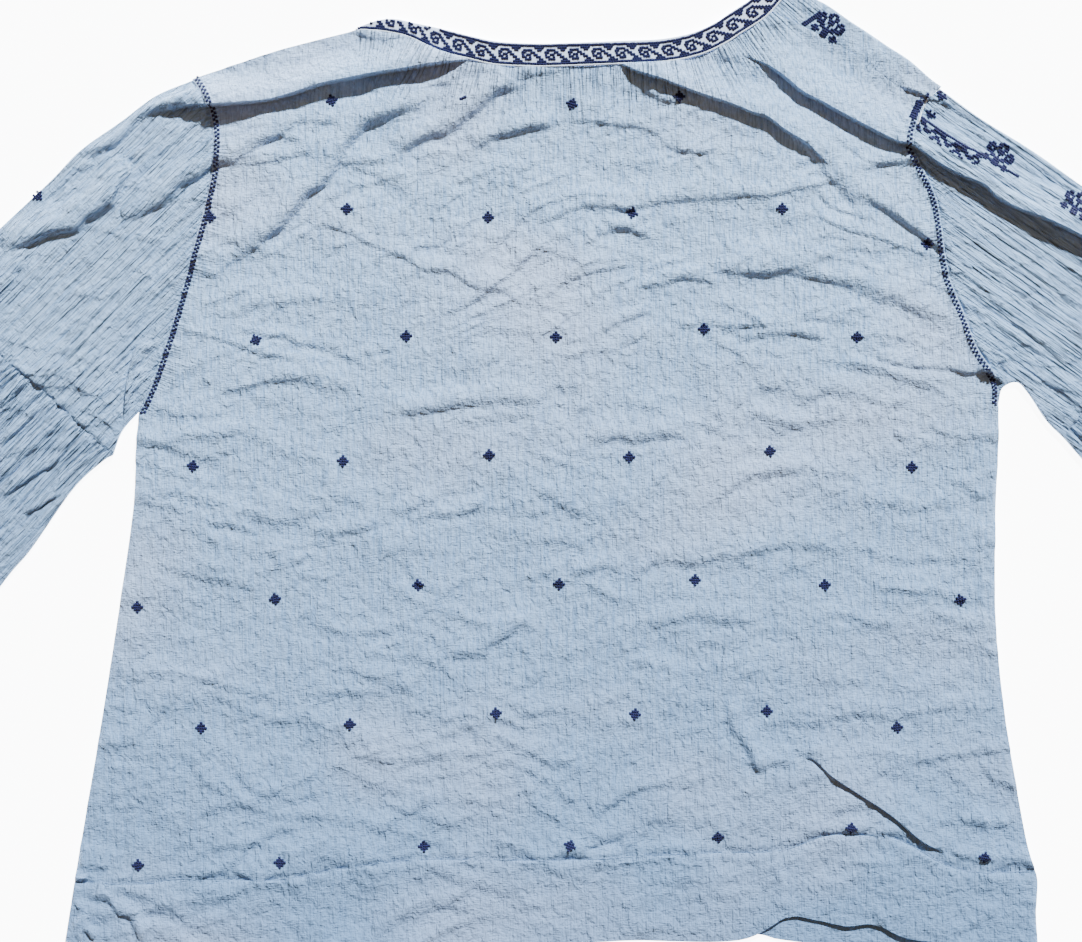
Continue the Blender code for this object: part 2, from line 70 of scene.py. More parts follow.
# Edges of the pieces, as in the part's source
BACK_HEM = ((-345, 0), (-200, -2), (-60, -1), (18, 0), (50, 1), (120, 1), (153, 17), (174, 15), (194, 11),
    (214, 12), (245, 1), (326, -1))
FRONT_HEM = ((-343, 3), (-200, 3), (0, 6), (120, 6), (150, 1), (200, -3), (325, -3))
LEFT_SIDE = ((-345, 0), (-335, 63), (-321, 146), (-308, 229), (-298, 300), (-296, 340), (-294, 366))
LEFT_ARMHOLE = ((-294, 366), (-286, 384), (-273, 422), (-259, 471), (-248, 512), (-243, 540), (-243, 560),
    (-248, 580), (-257, 595))
LEFT_SHOULDER = ((-257, 595), (-244, 600), (-217, 609), (-192, 617), (-160, 625), (-145, 629.1))
RIGHT_SIDE = ((326, -1), (325, 22), (326, 43), (320, 63), (312, 105), (305, 146), (300, 188), (297, 229),
    (297, 291), (299, 340), (299, 371))
RIGHT_ARMHOLE = ((299, 371), (298, 388), (284, 411), (276, 433), (267, 455), (262, 478), (257, 512),
    (247.5, 533), (239.5, 550), (243, 566), (249.8, 581))
SHOULDER_SEAM = ((142.2, 640.9), (151, 637.8), (165, 631.6), (179, 624.8), (194, 616.2), (210, 605),
    (227, 593), (237, 586.5), (249.8, 581))
RIGHT_OUTLINE = ((158.8, 659.8), (172, 650), (181, 645), (196, 634.5), (208, 626.7), (222, 617.1),
    (237, 607.4), (251.4, 594.8), (259, 589.3))
LEFT_ELBOW = ((-312, 336), (-338, 360), (-362, 382), (-390, 405), (-436, 449))
LEFT_UNDERARM = ((-294, 366), (-306, 352), (-312, 336))
LEFT_SLEEVE_TOP = ((-257, 595), (-283, 584), (-306, 567), (-335, 546.5), (-355, 526), (-390, 493),
    (-436, 449))
RIGHT_ELBOW = ((344, 348), (375, 388), (406, 427), (436, 466))
RIGHT_UNDERARM = ((299, 371), (302, 382), (312, 386), (320, 378), (332, 360), (344, 348))
RIGHT_SLEEVE_TOP = ((259, 589.3), (272.5, 579.3), (290, 567), (323, 546.5), (352, 526), (436, 466))
LEFT_FLOUNCE_UNDER = ((-312, 336), (-320, 331), (-340, 312), (-369, 270.5), (-390, 245), (-450, 160))
LEFT_FLOUNCE_OVER = ((-436, 449), (-525, 381), (-614, 312))
LEFT_FLOUNCE_HEM = ((-450, 160), (-498, 190), (-542, 225), (-580, 266), (-614, 312))
RIGHT_FLOUNCE_UNDER = ((344, 348), (416, 265), (489, 183))
RIGHT_FLOUNCE_OVER = ((436, 466), (532, 409), (629.5, 351))
RIGHT_FLOUNCE_HEM = ((489, 183), (532, 218), (571, 257), (603, 302), (629.5, 351))

# X and Y on the neck opening, then X and Y on the band's seam with the back
BAND_SECTIONS = (
    (-141.5, 631.8, -144.6, 629.4), (-129.6, 636.0, -135.7, 629.0), (-118.0, 637.1, -122.5, 627.7),
    (-105.0, 634.5, -108.5, 624.5), (-93.0, 632.0, -96.1, 618.8), (-80.0, 629.0, -83.5, 613.5),
    (-62.0, 624.5, -65.0, 609.0), (-45.0, 621.3, -47.0, 605.2), (-17.0, 620.0, -17.0, 604.0),
    (14.5, 621.0, 15.0, 605.0), (40.0, 622.0, 41.0, 606.0), (67.0, 623.3, 70.0, 607.5),
    (88.0, 627.5, 93.0, 612.2), (103.0, 634.0, 110.5, 620.0), (112.8, 640.5, 121.0, 626.8),
    (121.0, 645.8, 130.5, 632.7), (128.5, 651.0, 140.0, 639.6), (137.0, 660.0, 149.3, 650.0),
    (146.0, 670.5, 158.0, 660.5),
)
BAND_OPENING = [section[:2] for section in BAND_SECTIONS]
BAND_SEAM = [section[2:] for section in BAND_SECTIONS]
FRONT_NECK_DROP = 135.0
FRONT_BAND_WIDTH = 16.0

# Main folds: height, or the heights at both ends, width of the gentle side on the left of the
# crest's run, width of the steep side on its right, and the crest
FOLDS = (
    ((11, 11.5), 26, 1, ((-276, 573), (-259, 577), (-241.5, 577), (-222.5, 578.3), (-204, 580.1),
        (-185.6, 585.1), (-167.1, 591.2), (-148.6, 594.9), (-130, 598.6), (-111.8, 601.4), (-86, 606),
        (-66, 609))),
    ((9, 5), 24, 1, ((36, 608), (47, 601.5), (58, 597.5), (69, 594), (91.5, 585.5), (114, 578),
        (129, 572), (139.4, 569), (151.4, 560), (166.3, 551), (174, 543.7), (184, 534))),
    ((6.5, 10), 32, 1, ((121, 613), (139, 605), (152, 596), (163, 586.5), (179, 578), (195, 569),
        (210.5, 561), (227.7, 552.5), (237.6, 550), (248.3, 543.4), (256.5, 537.7), (264.8, 532.8),
        (273, 528.6), (288.6, 522), (298, 513), (314, 505), (330, 499), (357, 486), (404, 460))),
    ((2.6, 4.4), 24, 1, ((164, 128), (172.5, 125.5), (184.2, 114.5), (204.8, 101), (225, 87.7),
        (245.4, 70.5), (262, 62))),
    (2.2, 7, 1.6, ((232, 591), (237, 589), (245.6, 586), (251.6, 582.5), (258.8, 580), (268, 576))),
    ((4.2, 2.6), 24, 9, ((152, 568), (166, 556), (178, 546), (187, 533), (197, 522), (211, 507))),
    ((2.4, 3.4), 20, 4.5, ((196, 522), (203, 517.5), (221, 508.5), (236, 498), (251, 487.5), (262, 477))),
)

# Softer folds and creases, in the same columns, but each line is the crease at the foot of the
# steep side; their height is uneven along their run
CREASES = (
    (2.1, 16, 5, ((24.2, 498.9), (49.7, 505), (88.3, 511.3), (122, 512.7), (151.8, 513.4))),
    (1.5, 14, 4, ((10, 474), (24.2, 485.8), (41.4, 489.9), (67, 501))),
    ((2.8, 2.4), 24, 9, ((109.4, 455), (152, 459), (194.7, 451), (237.4, 434), (275.7, 421))),
    (2, 12, 4, ((24.2, 419.7), (45.5, 428.5), (62.5, 434.7))),
    (2.6, 14, 4, ((124.2, 414.7), (152, 417), (181.9, 416.3))),
    ((1.8, 2.2), 12, 3, ((207.6, 404.8), (237.4, 396.3), (270, 394), (290, 390))),
    (1.8, 10, 3, ((47.4, 448), (81, 456.4), (108, 453))),
    (2, 12, 3, ((182, 398.4), (224.6, 389.9), (262.9, 377))),
    (2.2, 14, 5, ((-16.6, 493.4), (17.2, 507), (47.4, 501.9))),
    (3, 8, 1.6, ((-372, 294), (-356, 303.5), (-341, 312))),
    (2.2, 7, 1.6, ((-389.9, 367.8), (-380, 377), (-371.2, 387))),
    (2.2, 7, 1.6, ((-389.9, 338), (-374, 355), (-357.7, 371.2))),
    (2, 12, 4, ((130, 116), (145, 121), (160, 121))),
    ((4.5, 5.5), 20, 7, ((-310, 492), (-293, 500), (-278, 506), (-268, 513), (-264, 520), (-252.5, 527),
        (-240, 535), (-225, 540), (-212.7, 546.3), (-201.5, 552.5), (-191.8, 558.6), (-180, 565))),
    ((5.5, 6.5), 24, 7, ((-230, 464), (-208, 481), (-194, 491), (-179, 511), (-166, 522), (-155, 539),
        (-144, 553), (-134, 562), (-110, 571), (-86, 582))),
    ((5, 5.4), 20, 7, ((-116, 539), (-92.5, 553), (-75, 561), (-59, 573), (-46, 584), (-31, 589),
        (-28, 596))),
    (3.6, 16, 6, ((-65, 545), (-46, 553), (-31, 557), (-21, 560), (-7, 561))),
    ((6.5, 7), 24, 7, ((-386.4, 472), (-374, 478.2), (-363.6, 482.3), (-347.8, 486.4), (-335.3, 489.9),
        (-328.4, 496.1), (-320.2, 500.2), (-308.4, 512.7), (-301.5, 524.4), (-294.6, 531.3))),
    ((5, 6), 16, 7, ((-330, 541), (-312, 548), (-303, 556), (-292, 568), (-275, 573), (-259, 578))),
    (2.8, 16, 7, ((-410.5, 418.8), (-389.8, 445), (-382.9, 453.3), (-372.6, 465.7), (-363.6, 476.8))),
    (3, 16, 3.8, ((-124.9, 359.5), (-113.8, 362.2), (-77.3, 367.8), (-53.8, 371.2), (-24.8, 371.2),
        (-12.4, 373.3))),
    (1.2, 9, 2.2, ((3.4, 364.3), (11, 364.3), (19.3, 372.6))),
    (2.8, 15, 3.8, ((15.9, 346.4), (44.8, 345.7), (68.3, 348.4), (79.3, 348.4), (89, 344.3))),
    (1.5, 12, 3, ((-120.1, 293.9), (-102.8, 299.5), (-91.8, 305.7))),
    (2, 13, 3, ((-107.6, 287), (-88.3, 291.9), (-66.2, 294.6), (-50.4, 307.7))),
    (1.5, 12, 3, ((-24.8, 309.1), (-12.4, 305.7), (-1.4, 300.1), (6.2, 295.3), (14.5, 294.6))),
    (1.8, 14, 3, ((102.8, 298.8), (114.5, 310.5), (123.5, 318.1), (134.5, 320.2), (145.6, 321.5),
        (171.8, 325.7))),
    (1.5, 12, 3, ((3.4, 251.8), (17.9, 256), (29, 257.4), (41.4, 256))),
    (1.6, 12, 3, ((51.1, 247), (58.6, 256.7), (68.3, 262.9), (79.3, 260.1), (90.4, 256.7))),
    (2.2, 15, 3.4, ((-80.7, 193.2), (-75.9, 195.3), (-56.6, 195.3), (-50.4, 201.5), (-37.9, 212.5),
        (-24.8, 222.2), (-18.6, 222.9))),
    (1.6, 14, 3, ((44.8, 215.3), (60, 218), (89, 222.2), (107.6, 219.4), (133.2, 217.3))),
    (1, 9, 2.2, ((102.1, 364.3), (110.4, 356.7))),
    (1.2, 10, 2.2, ((120.1, 365), (145.6, 359.5), (167, 352.6))),
    (1.3, 11, 2.6, ((175.3, 223.6), (198.7, 222.2), (218.7, 215.3), (229.1, 215.3))),
    (1.2, 10, 2.2, ((249.1, 231.8), (258.8, 222.9), (273.9, 220.1))),
    (1.1, 10, 2.2, ((-269.1, 343.6), (-254.6, 347.8), (-243.6, 347.1))),
    (1.3, 11, 2.6, ((-254.6, 283.6), (-236, 286.3), (-218, 278.8))),
    (1.4, 12, 2.6, ((-183.5, 280.8), (-164.2, 282.2), (-139.4, 282.9), (-131.1, 287), (-126.3, 294.6))),
    (1.1, 9, 2.2, ((-189.7, 260.8), (-175.3, 262.9))),
    (1.1, 9, 2.2, ((-191.1, 247), (-164.2, 251.8))),
    (1.3, 7, 2.2, ((-291.2, 342.2), (-283.6, 364.3))),
    (1.1, 6, 2.2, ((-294.6, 327.8), (-288.4, 336))),
    (1.4, 14, 7, ((-294.6, 200.1), (-275.3, 227))),
    (0.9, 4, 2.2, ((282.2, 303.6), (284.3, 249.8), (285.7, 181.5))),
    (1.1, 9, 2.2, ((-316.7, 159.4), (-293.2, 158.7))),
    (1.5, 11, 3, ((-291.9, 122.8), (-289.8, 139.4), (-280.1, 155.9), (-268.4, 164.2), (-258.1, 181.5))),
    (1.1, 8, 3, ((-273.2, 77.3), (-271.9, 111.1), (-274.6, 152.5))),
    (1.1, 9, 2.2, ((-318.1, 120.7), (-308.4, 115.9), (-295.3, 116.6))),
    (1.5, 13, 3, ((-191.1, 159.4), (-171.1, 149.7), (-158, 144.2), (-151.1, 132.5), (-144.2, 126.3),
        (-131.1, 122.8), (-114.5, 120.7))),
    (1.5, 13, 3, ((-131.1, 69), (-118, 80.7), (-106.3, 87.6), (-87.6, 94.5))),
    (2.4, 13, 3.8, ((110.4, 169), (113.2, 148.3), (120.1, 137.3), (126.3, 129), (131.1, 119.4),
        (137.3, 113.8))),
    (1.6, 14, 3, ((147, 62.8), (159.4, 65.5), (172.5, 70.4), (178.7, 73.1), (202.2, 73.8), (229.1, 71.1))),
    (1.6, 7, 3, ((150.4, 18.6), (153.2, 34.5), (148.3, 56.6))),
    (1.3, 6, 3, ((209.1, 26.2), (215.3, 11.7))),
    (1.5, 9, 3, ((264.3, 2.8), (282.9, 10.3), (303.6, 24.1))),
    (1.5, 8, 3, ((298.8, 29.7), (296, 49.7), (297.4, 70.4), (285.7, 97.3))),
    (2.8, 10, 2, ((-331.9, 31), (-318.1, 29.7), (-308.4, 20.7), (-298.1, 13.8), (-295.3, 0.7))),
    (3, 5, 1.6, ((-338.6, 29.5), (-334.9, 22), (-335.3, 16.8), (-338.8, 11.5), (-340.2, 4))),
    (2.4, 4, 1.6, ((-332.2, 20), (-333.4, 13), (-336, 6), (-336.5, 1))),
    (3.4, 6, 1.6, ((-333, 10.5), (-329.5, 6.5), (-326, 1.5), (-322, 0.5))),
    (2.4, 6, 1.6, ((-339, 43.6), (-334, 43.2), (-329, 40.5))),
    (1.8, 8, 2.2, ((-301, 13), (-297, 6), (-294.5, -0.5))),
    (1.6, 8, 3, ((-335.3, 51.1), (-313.3, 49))),
    (1.5, 9, 2.2, ((-335.3, 529.2), (-330, 534), (-325, 538.2))),
    (3.5, 8, 2, ((-280, 418), (-286.3, 415.4), (-297, 409.9), (-299.5, 400.2), (-301.5, 391.2),
        (-302.9, 377.4), (-303.6, 363.6), (-305, 352.6))),
    (5, 8, 1.6, ((284, 394), (292, 391), (300, 385), (310.5, 380))),
    (2.6, 11, 1.6, ((-386.4, 305), (-374, 314.6), (-365, 321.5), (-352.6, 328), (-348, 332.6),
        (-342, 341.5), (-334, 350.5))),
    (2.2, 10, 1.6, ((-389.9, 314), (-380, 325), (-373, 334), (-366, 340), (-360, 346), (-350, 355),
        (-343.6, 364))),
)
# Share of its run over which a fold or a crease dies out at each end
FOLD_TAPER = 0.16
CREASE_TAPER = 0.24
# How much their height wavers along the run
FOLD_WAVER = 0.08
CREASE_WAVER = 0.12
# Power that joins two folds where they meet; a high one keeps the taller
FOLD_BLEND = 3
# A fold whose steep side is no wider than this gets mesh points on its crest and its foot
SHARP_FOLD = 3
# Most that the cloth dips at a fold's foot
HOLLOW = 0.6
# Width of the step from the hem's line of stitches up to the doubled cloth
HEM_STEP = 1.6

# The turned-up hem's line of stitches
HEM_LINE = ((-337.5, 41.2), (-289.8, 40), (-265, 43.5), (-206.3, 42.8), (-181.5, 45.5), (-147.7, 51.7),
    (-114.5, 55.9), (-86.2, 57.3), (-3.4, 56.6), (93.1, 61.4), (147, 62.8), (178.7, 73.1), (202.2, 73.8),
    (229.1, 71.1), (272.5, 49.7), (323.5, 48.4))

# Embroidery: the small diamonds strewn over the back
DIAMONDS = (
    (-160.8, 580.3), (4.8, 578.2), (78.7, 583), (-244.9, 500.2), (-150.4, 505.8), (-53.1, 500.2),
    (46.2, 503), (149.7, 505.8), (249.8, 481.6), (-213.2, 415.4), (-109.7, 418.1), (-6.2, 417.4),
    (95.9, 423), (201.5, 417.4), (-256.7, 328.4), (-153.2, 331.9), (-52.4, 336), (44.2, 334.6),
    (141.4, 338.8), (239.4, 327.8), (-295.3, 231.1), (-200.1, 236.7), (-101.4, 246.3), (-4.1, 247),
    (89.7, 249.8), (179.4, 246.3), (272.5, 236), (-251.2, 147.7), (-148.3, 150.4), (-47.6, 158),
    (48.3, 157.3), (139.4, 159.4), (229.1, 148.3), (-294.6, 53.1), (-196.6, 55.2), (-97.3, 66.2),
    (3.4, 66.9), (105.6, 72.4), (197.3, 78.7), (289.1, 58.6),
)
# A fold half hides this diamond, so that only a dash of it shows
HIDDEN_DIAMOND = (-70.4, 581.7)
STITCH = 1.66

# Charts: one mark for each cross-stitch, top row first
DIAMOND_CHART = ("..#..", ".###.", "#####", ".###.", "..#..")
DASH_CHART = ("###",)
SCROLL_CHART = (
    "##########",
    "##......##",
    "#..####..#",
    "..##..##..",
    "..#.##.##.",
    "..##.#..##",
    "#..###...#",
    "##......##",
    "##########",
)
SPRIG_CHART = (
    ".....###.....",
    "....##.##....",
    ".##.##.##.##.",
    "####.###.####",
    "##.#.###.#.##",
    "####..#..####",
    ".####.#.####.",
    "...#######...",
    ".##..###..##.",
    "####.###.####",
    ".##..###..##.",
)
BUD_CHART = (".#.#.", "#####", ".###.", "..#..")
WAVE_CHART = ("###....###", ".###..###.", "#..####..#", "##..##..##", ".##....##.")
SLEEVE_BORDER = ((245.6, 568.6), (254.6, 562.3), (261.5, 557.5), (269.1, 552.7), (276.7, 547.9),
    (282.9, 545.1), (289.8, 541), (297.4, 535.4), (305.7, 531.3), (312.6, 527.8))

# Colours of the cloth and threads, as sRGB. The valley colour is painted shade; the dark gauze colour
# and the sewing thread's blue are partly painted shade
# The gauze's lines run from the light colour on their ridges to the dark one in their valleys: partly the
# thread's uneven density, partly painted shade
GAUZE_LIGHT = "afccee"
GAUZE_DARK = "87a7cd"
GAUZE_DEEP = "6c8bb2"
GAUZE_BLUSH = "cbcfe6"
# Painted shade laid into the valleys of the seams' gathers
GAUZE_VALLEY_SHADE = "3c4a60"
BAND_GROUND = "e8f0ff"
BAND_SHADE = "c6d6ff"
FLOSS_DARK = "06082a"
FLOSS_LIGHT = "0f1350"
PIPING_WHITE = "e4e8f0"
# The hem's sewing thread: its blue, darker than the cloth's, is painted shade of the groove it lies in
THREAD_LIGHT = "7892b4"
THREAD_DARK = "465c7a"
FLOOR_PALE = "f6f6f6"
# Heights above the hem: the blue is palest from one and darker and deeper below it, and the
# warmer tint grows from the other
PALEST_ABOVE = 520
BLUSH_ABOVE = 250


# Lines and patches in the plan

def ease(value):
    """Rise smoothly from 0 to 1 as the value does, and stay flat outside."""
    value = np.clip(value, 0.0, 1.0)
    return value * value * (3 - 2 * value)


FINE_STEPS = 8
ROUGH_STEPS = 5


def dense_points(points, steps=FINE_STEPS):
    """Points close together on a smooth line through the given points."""
    knots = np.array(points, dtype=float)
    padded = np.vstack([2 * knots[0] - knots[1], knots, 2 * knots[-1] - knots[-2]])
    part = np.linspace(0, 1, steps, endpoint=False)[:, None]
    pieces = []
    for a, b, c, d in zip(padded, padded[1:], padded[2:], padded[3:]):
        bend = (2 * a - 5 * b + 4 * c - d) * part ** 2 + (3 * b - a - 3 * c + d) * part ** 3
        pieces.append(b + 0.5 * ((c - a) * part + bend))
    return np.vstack(pieces + [knots[-1:]])


def smooth_line(points):
    """Return a function of 0 to 1 that runs evenly along a smooth line through the points."""
    dense = dense_points(points)
    reach = np.append(0, np.cumsum(np.linalg.norm(np.diff(dense, axis=0), axis=1)))
    reach /= reach[-1]

    def at(fraction):
        x = np.interp(fraction, reach, dense[:, 0])
        y = np.interp(fraction, reach, dense[:, 1])
        return np.stack([x, y], axis=-1)

    return at


def joined(lines, shares):
    """Run through several lines in turn, each over its share of 0 to 1."""
    ends = np.append(0, np.cumsum(shares)) / sum(shares)

    def at(fraction):
        fraction = np.asarray(fraction, dtype=float)
        place = lines[0](np.clip(fraction / ends[1], 0, 1))
        for line, start, end in zip(lines[1:], ends[1:], ends[2:]):
            local = np.clip((fraction - start) / (end - start), 0, 1)
            place = np.where((fraction > start)[..., None], line(local), place)
        return place

    return at


def beside(line, distance):
    """Return the same line moved sideways, to its left for a positive distance."""
    def at(fraction):
        fraction = np.asarray(fraction, dtype=float)
        along = line(np.clip(fraction + 0.01, 0, 1)) - line(np.clip(fraction - 0.01, 0, 1))
        along /= np.linalg.norm(along, axis=-1, keepdims=True)
        left = np.stack([-along[..., 1], along[..., 0]], axis=-1)
        return line(fraction) + distance * left

    return at


def fill(bottom, top, left, right, across, up):
    """Spread points between four edge lines, for fractions across and up."""
    a, b = np.broadcast_arrays(across, up)
    left_side = left(b)
    right_side = right(b)
    a_share = a[..., None]
    b_share = b[..., None]
    left_side = left_side + (1 - b_share) * (bottom(0) - left(0)) + b_share * (top(0) - left(1))
    right_side = right_side + (1 - b_share) * (bottom(1) - right(0)) + b_share * (top(1) - right(1))
    corners = (1 - a_share) * ((1 - b_share) * bottom(0) + b_share * top(0))
    corners = corners + a_share * ((1 - b_share) * bottom(1) + b_share * top(1))
    ends = (1 - b_share) * bottom(a) + b_share * top(a)
    return ends + (1 - a_share) * left_side + a_share * right_side - corners


def seam_share(line, point):
    """Find how far along a line it passes nearest to a point."""
    fractions = np.linspace(0, 1, 2001)
    distances = np.linalg.norm(line(fractions) - np.array(point), axis=1)
    return fractions[distances.argmin()]


def nearest(points, x, y):
    """Distance to a line, whether on its left, and how far along it in millimetres."""
    best = np.full(x.shape, np.inf)
    left = np.zeros(x.shape, dtype=bool)
    run = np.zeros(x.shape)
    passed = 0.0
    for start, end in zip(points, points[1:]):
        span = np.linalg.norm(end - start)
        along = (end - start) / span
        reach = np.clip((x - start[0]) * along[0] + (y - start[1]) * along[1], 0, span)
        off_x = x - start[0] - reach * along[0]
        off_y = y - start[1] - reach * along[1]
        distance = np.hypot(off_x, off_y)
        closer = distance < best
        best = np.where(closer, distance, best)
        left = np.where(closer, along[0] * off_y - along[1] * off_x > 0, left)
        run = np.where(closer, passed + reach, run)
        passed += span
    return best, left, run


def within(outline, x, y):
    """Tell which points lie inside a closed outline."""
    inside = np.zeros(x.shape, dtype=bool)
    for start, end in zip(outline, np.roll(outline, -1, axis=0)):
        crosses = (start[1] > y) != (end[1] > y)
        rise = end[1] - start[1] if end[1] != start[1] else 1.0
        at = start[0] + (y - start[1]) / rise * (end[0] - start[0])
        inside ^= crosses & (x < at)
    return inside


# Heights of the cloth

# Random values on each side of the square that the swells repeat after
LATTICE = 64


def drift(x, y, wide, high, seed, turn=0.0):
    """Smooth random values from -1 to 1, whose swells have the given size and turn."""
    u = (x * math.cos(turn) + y * math.sin(turn)) / wide + 0.37 * seed
    v = (y * math.cos(turn) - x * math.sin(turn)) / high + 0.71 * seed
    values = np.random.default_rng(seed).uniform(-1, 1, (LATTICE, LATTICE))
    column = np.floor(u).astype(int)
    row = np.floor(v).astype(int)
    a = ease(u - column)
    b = ease(v - row)
    low = values[column % LATTICE, row % LATTICE] * (1 - a)
    low = low + values[(column + 1) % LATTICE, row % LATTICE] * a
    top = values[column % LATTICE, (row + 1) % LATTICE] * (1 - a)
    top = top + values[(column + 1) % LATTICE, (row + 1) % LATTICE] * a
    return low * (1 - b) + top * b


def one_fold(x, y, fold, seed, waver, taper, at_foot=False):
    """Height of one fold: soft on the left of its crest, and steep down to its foot on the right.

    The fold's line is its crest, or its foot if at_foot says so.
    """
    heights, gentle, steep, line = fold
    start_height, end_height = np.broadcast_to(heights, 2)
    points = dense_points(line, ROUGH_STEPS)
    low = points.min(axis=0) - gentle - steep
    high = points.max(axis=0) + gentle + steep
    near = (x > low[0]) & (x < high[0]) & (y > low[1]) & (y < high[1])
    height = np.zeros(x.shape)
    if near.any():
        distance, left, run = nearest(points, x[near], y[near])
        if at_foot:
            from_crest = np.where(left, distance, -distance) - steep
            distance = np.abs(from_crest)
            left = from_crest > 0
        total = np.linalg.norm(np.diff(points, axis=0), axis=1).sum()
        share = run / total
        crest_height = start_height + (end_height - start_height) * share
        crest_height = crest_height * (1 + waver * drift(run, 0 * run, 19, 1, seed))
        near_end = np.clip(np.minimum(share, 1 - share) / taper, 0, 1)
        crest_height = crest_height * (1 - (1 - near_end) ** 2)
        hollow = np.minimum(HOLLOW, 0.25 * crest_height)
        out = distance / steep
        fall = crest_height - (crest_height + hollow) * out ** 2
        rise = -hollow * (1 - ease((out - 1) / 2))
        height[near] = np.where(left, crest_height * ease(1 - distance / gentle),
                                np.where(out < 1, fall, rise))
    return height


def folds_at(x, y):
    """Height of the folds and the ragged creases, and how free the cloth is to rumple there."""
    tall = np.zeros(x.shape)
    small = np.zeros(x.shape)
    for number, fold in enumerate(FOLDS):
        height = one_fold(x, y, fold, 100 + number, FOLD_WAVER, FOLD_TAPER)
        tall += np.clip(height, 0, None) ** FOLD_BLEND
        small += np.clip(height, None, 0)
    bent_x = x + 1.6 * drift(x, y, 15, 15, 5) + 0.3 * drift(x, y, 5, 5, 6)
    bent_y = y + 1.6 * drift(x, y, 15, 15, 7) + 0.3 * drift(x, y, 5, 5, 8)
    soft = np.zeros(x.shape)
    for number, crease in enumerate(CREASES):
        soft += one_fold(bent_x, bent_y, crease, 200 + number, CREASE_WAVER, CREASE_TAPER, True)
    tall = tall ** (1 / FOLD_BLEND)
    return tall + small + soft, 1 - 0.7 * ease((tall + np.clip(soft - 1, 0, None)) / 3)


def drawn_to_folds(plan, pitch):
    """Move the inner points of a grid that lie near a sharp fold, or the hem, onto its two lines."""
    moved = plan.copy()
    lines = [(steep, crest) for _, _, steep, crest in FOLDS if steep <= SHARP_FOLD]
    for steep, crest in lines + [(HEM_STEP, HEM_LINE)]:
        points = dense_points(crest, ROUGH_STEPS)
        distance, left, run = nearest(points, plan[..., 0], plan[..., 1])
        reach = np.append(0, np.cumsum(np.linalg.norm(np.diff(points, axis=0), axis=1)))
        along = np.gradient(points, axis=0)
        along /= np.linalg.norm(along, axis=1, keepdims=True)
        on_crest = np.stack([np.interp(run, reach, points[:, axis]) for axis in (0, 1)], axis=-1)
        aside = np.stack([np.interp(run, reach, along[:, 1]),
                          -np.interp(run, reach, along[:, 0])], axis=-1)
        on_run = (run > 0) & (run < reach[-1])
        at_crest = on_run & (distance < 0.5 * pitch)
        at_foot = on_run & ~left & (distance >= 0.5 * pitch) & (distance < 1.5 * pitch)
        moved = np.where(at_crest[..., None], on_crest, moved)
        moved = np.where(at_foot[..., None], on_crest + steep * aside, moved)
    moved[[0, -1]] = plan[[0, -1]]
    moved[:, [0, -1]] = plan[:, [0, -1]]
    return moved


def broken_creases(x, y, spacing, turn, seed, amount):
    """Rows of short creases: the cloth rises slowly towards each and drops to a sharp line."""
    u = x * math.cos(turn) + y * math.sin(turn)
    v = y * math.cos(turn) - x * math.sin(turn)
    row = v / spacing + drift(u, v, 4.2 * spacing, 2.4 * spacing, seed)
    row += 0.22 * drift(u, v, 1.1 * spacing, 0.9 * spacing, seed + 1)
    number = np.floor(row)
    part = row - number
    crest = 0.12
    profile = np.where(part < crest, ease(part / crest), 1 - ease((part - crest) / (1 - crest)))
    strength = ease(1.5 * drift(u, 17.3 * number, 2.6 * spacing, 1, seed + 2) + amount)
    return profile * strength


# Height, width, length, seed and turn of the swells, the broadest first
SWELLS = ((1.1, 66, 46, 11, 0.3), (0.8, 33, 22, 12, -0.4), (0.42, 17, 13, 13, 0.7), (0.2, 8, 7, 14, 0.2))
# Height, spacing, turn, seed and amount of the rows of short creases
CREASE_ROWS = ((1.9, 27, 0.12, 301, 0.05), (1.4, 17, -0.26, 311, 0.05), (0.9, 11, 0.4, 321, 0.1))
# Height, width, length, seed and turn of the small ridges
RIDGES = ((0.6, 21, 9, 16, 0.25), (0.6, 24, 10, 17, -0.35))


def rumple(x, y):
    """Soft rumples of washed gauze: broad swells, smaller ones, and short sharp creases."""
    patches = 0.5 * drift(x, y, 80, 60, 15)
    height = sum(rise * drift(x, y, *swell) for rise, *swell in SWELLS)
    for rise, spacing, turn, seed, amount in CREASE_ROWS:
        height = height + rise * broken_creases(x, y, spacing, turn, seed, amount + patches)
    height = height + sum(rise * np.abs(drift(x, y, *ridge)) for rise, *ridge in RIDGES)
    return height - 0.8


def pleats(x, y, turn, seed, spacing, depth):
    """Long fine creases that run along a sleeve, with sharp valleys."""
    bent_x = x + 2.0 * drift(x, y, 30, 30, seed + 1)
    bent_y = y + 2.0 * drift(x, y, 30, 30, seed + 2)
    fine = np.abs(drift(bent_x, bent_y, 70, spacing, seed, turn))
    finer = np.abs(drift(bent_x, bent_y, 40, 0.55 * spacing, seed + 3, turn + 0.06))
    return depth * (fine + 0.5 * finer - 0.7)


def settle(height, lowest):
    """Keep a height above the layer below it, with a soft lower limit."""
    over = height - lowest
    return lowest + 0.5 * (over + np.sqrt(over * over + 0.25))


def seam_edge(x, y, line, ridge=0.45, reach=6.5, drop=1.0):
    """Added height near a seam: the doubled allowance stands up and the edge dips into the seam."""
    distance, _, run = nearest(dense_points(line), x, y)
    pucker = 0.8 * (np.abs(drift(run, distance, 6, 16, 31)) - 0.4) * ease(1 - distance / 16)
    return ridge * ease((reach - distance) / 2) - drop * ease(1 - distance / 1.8) + pucker


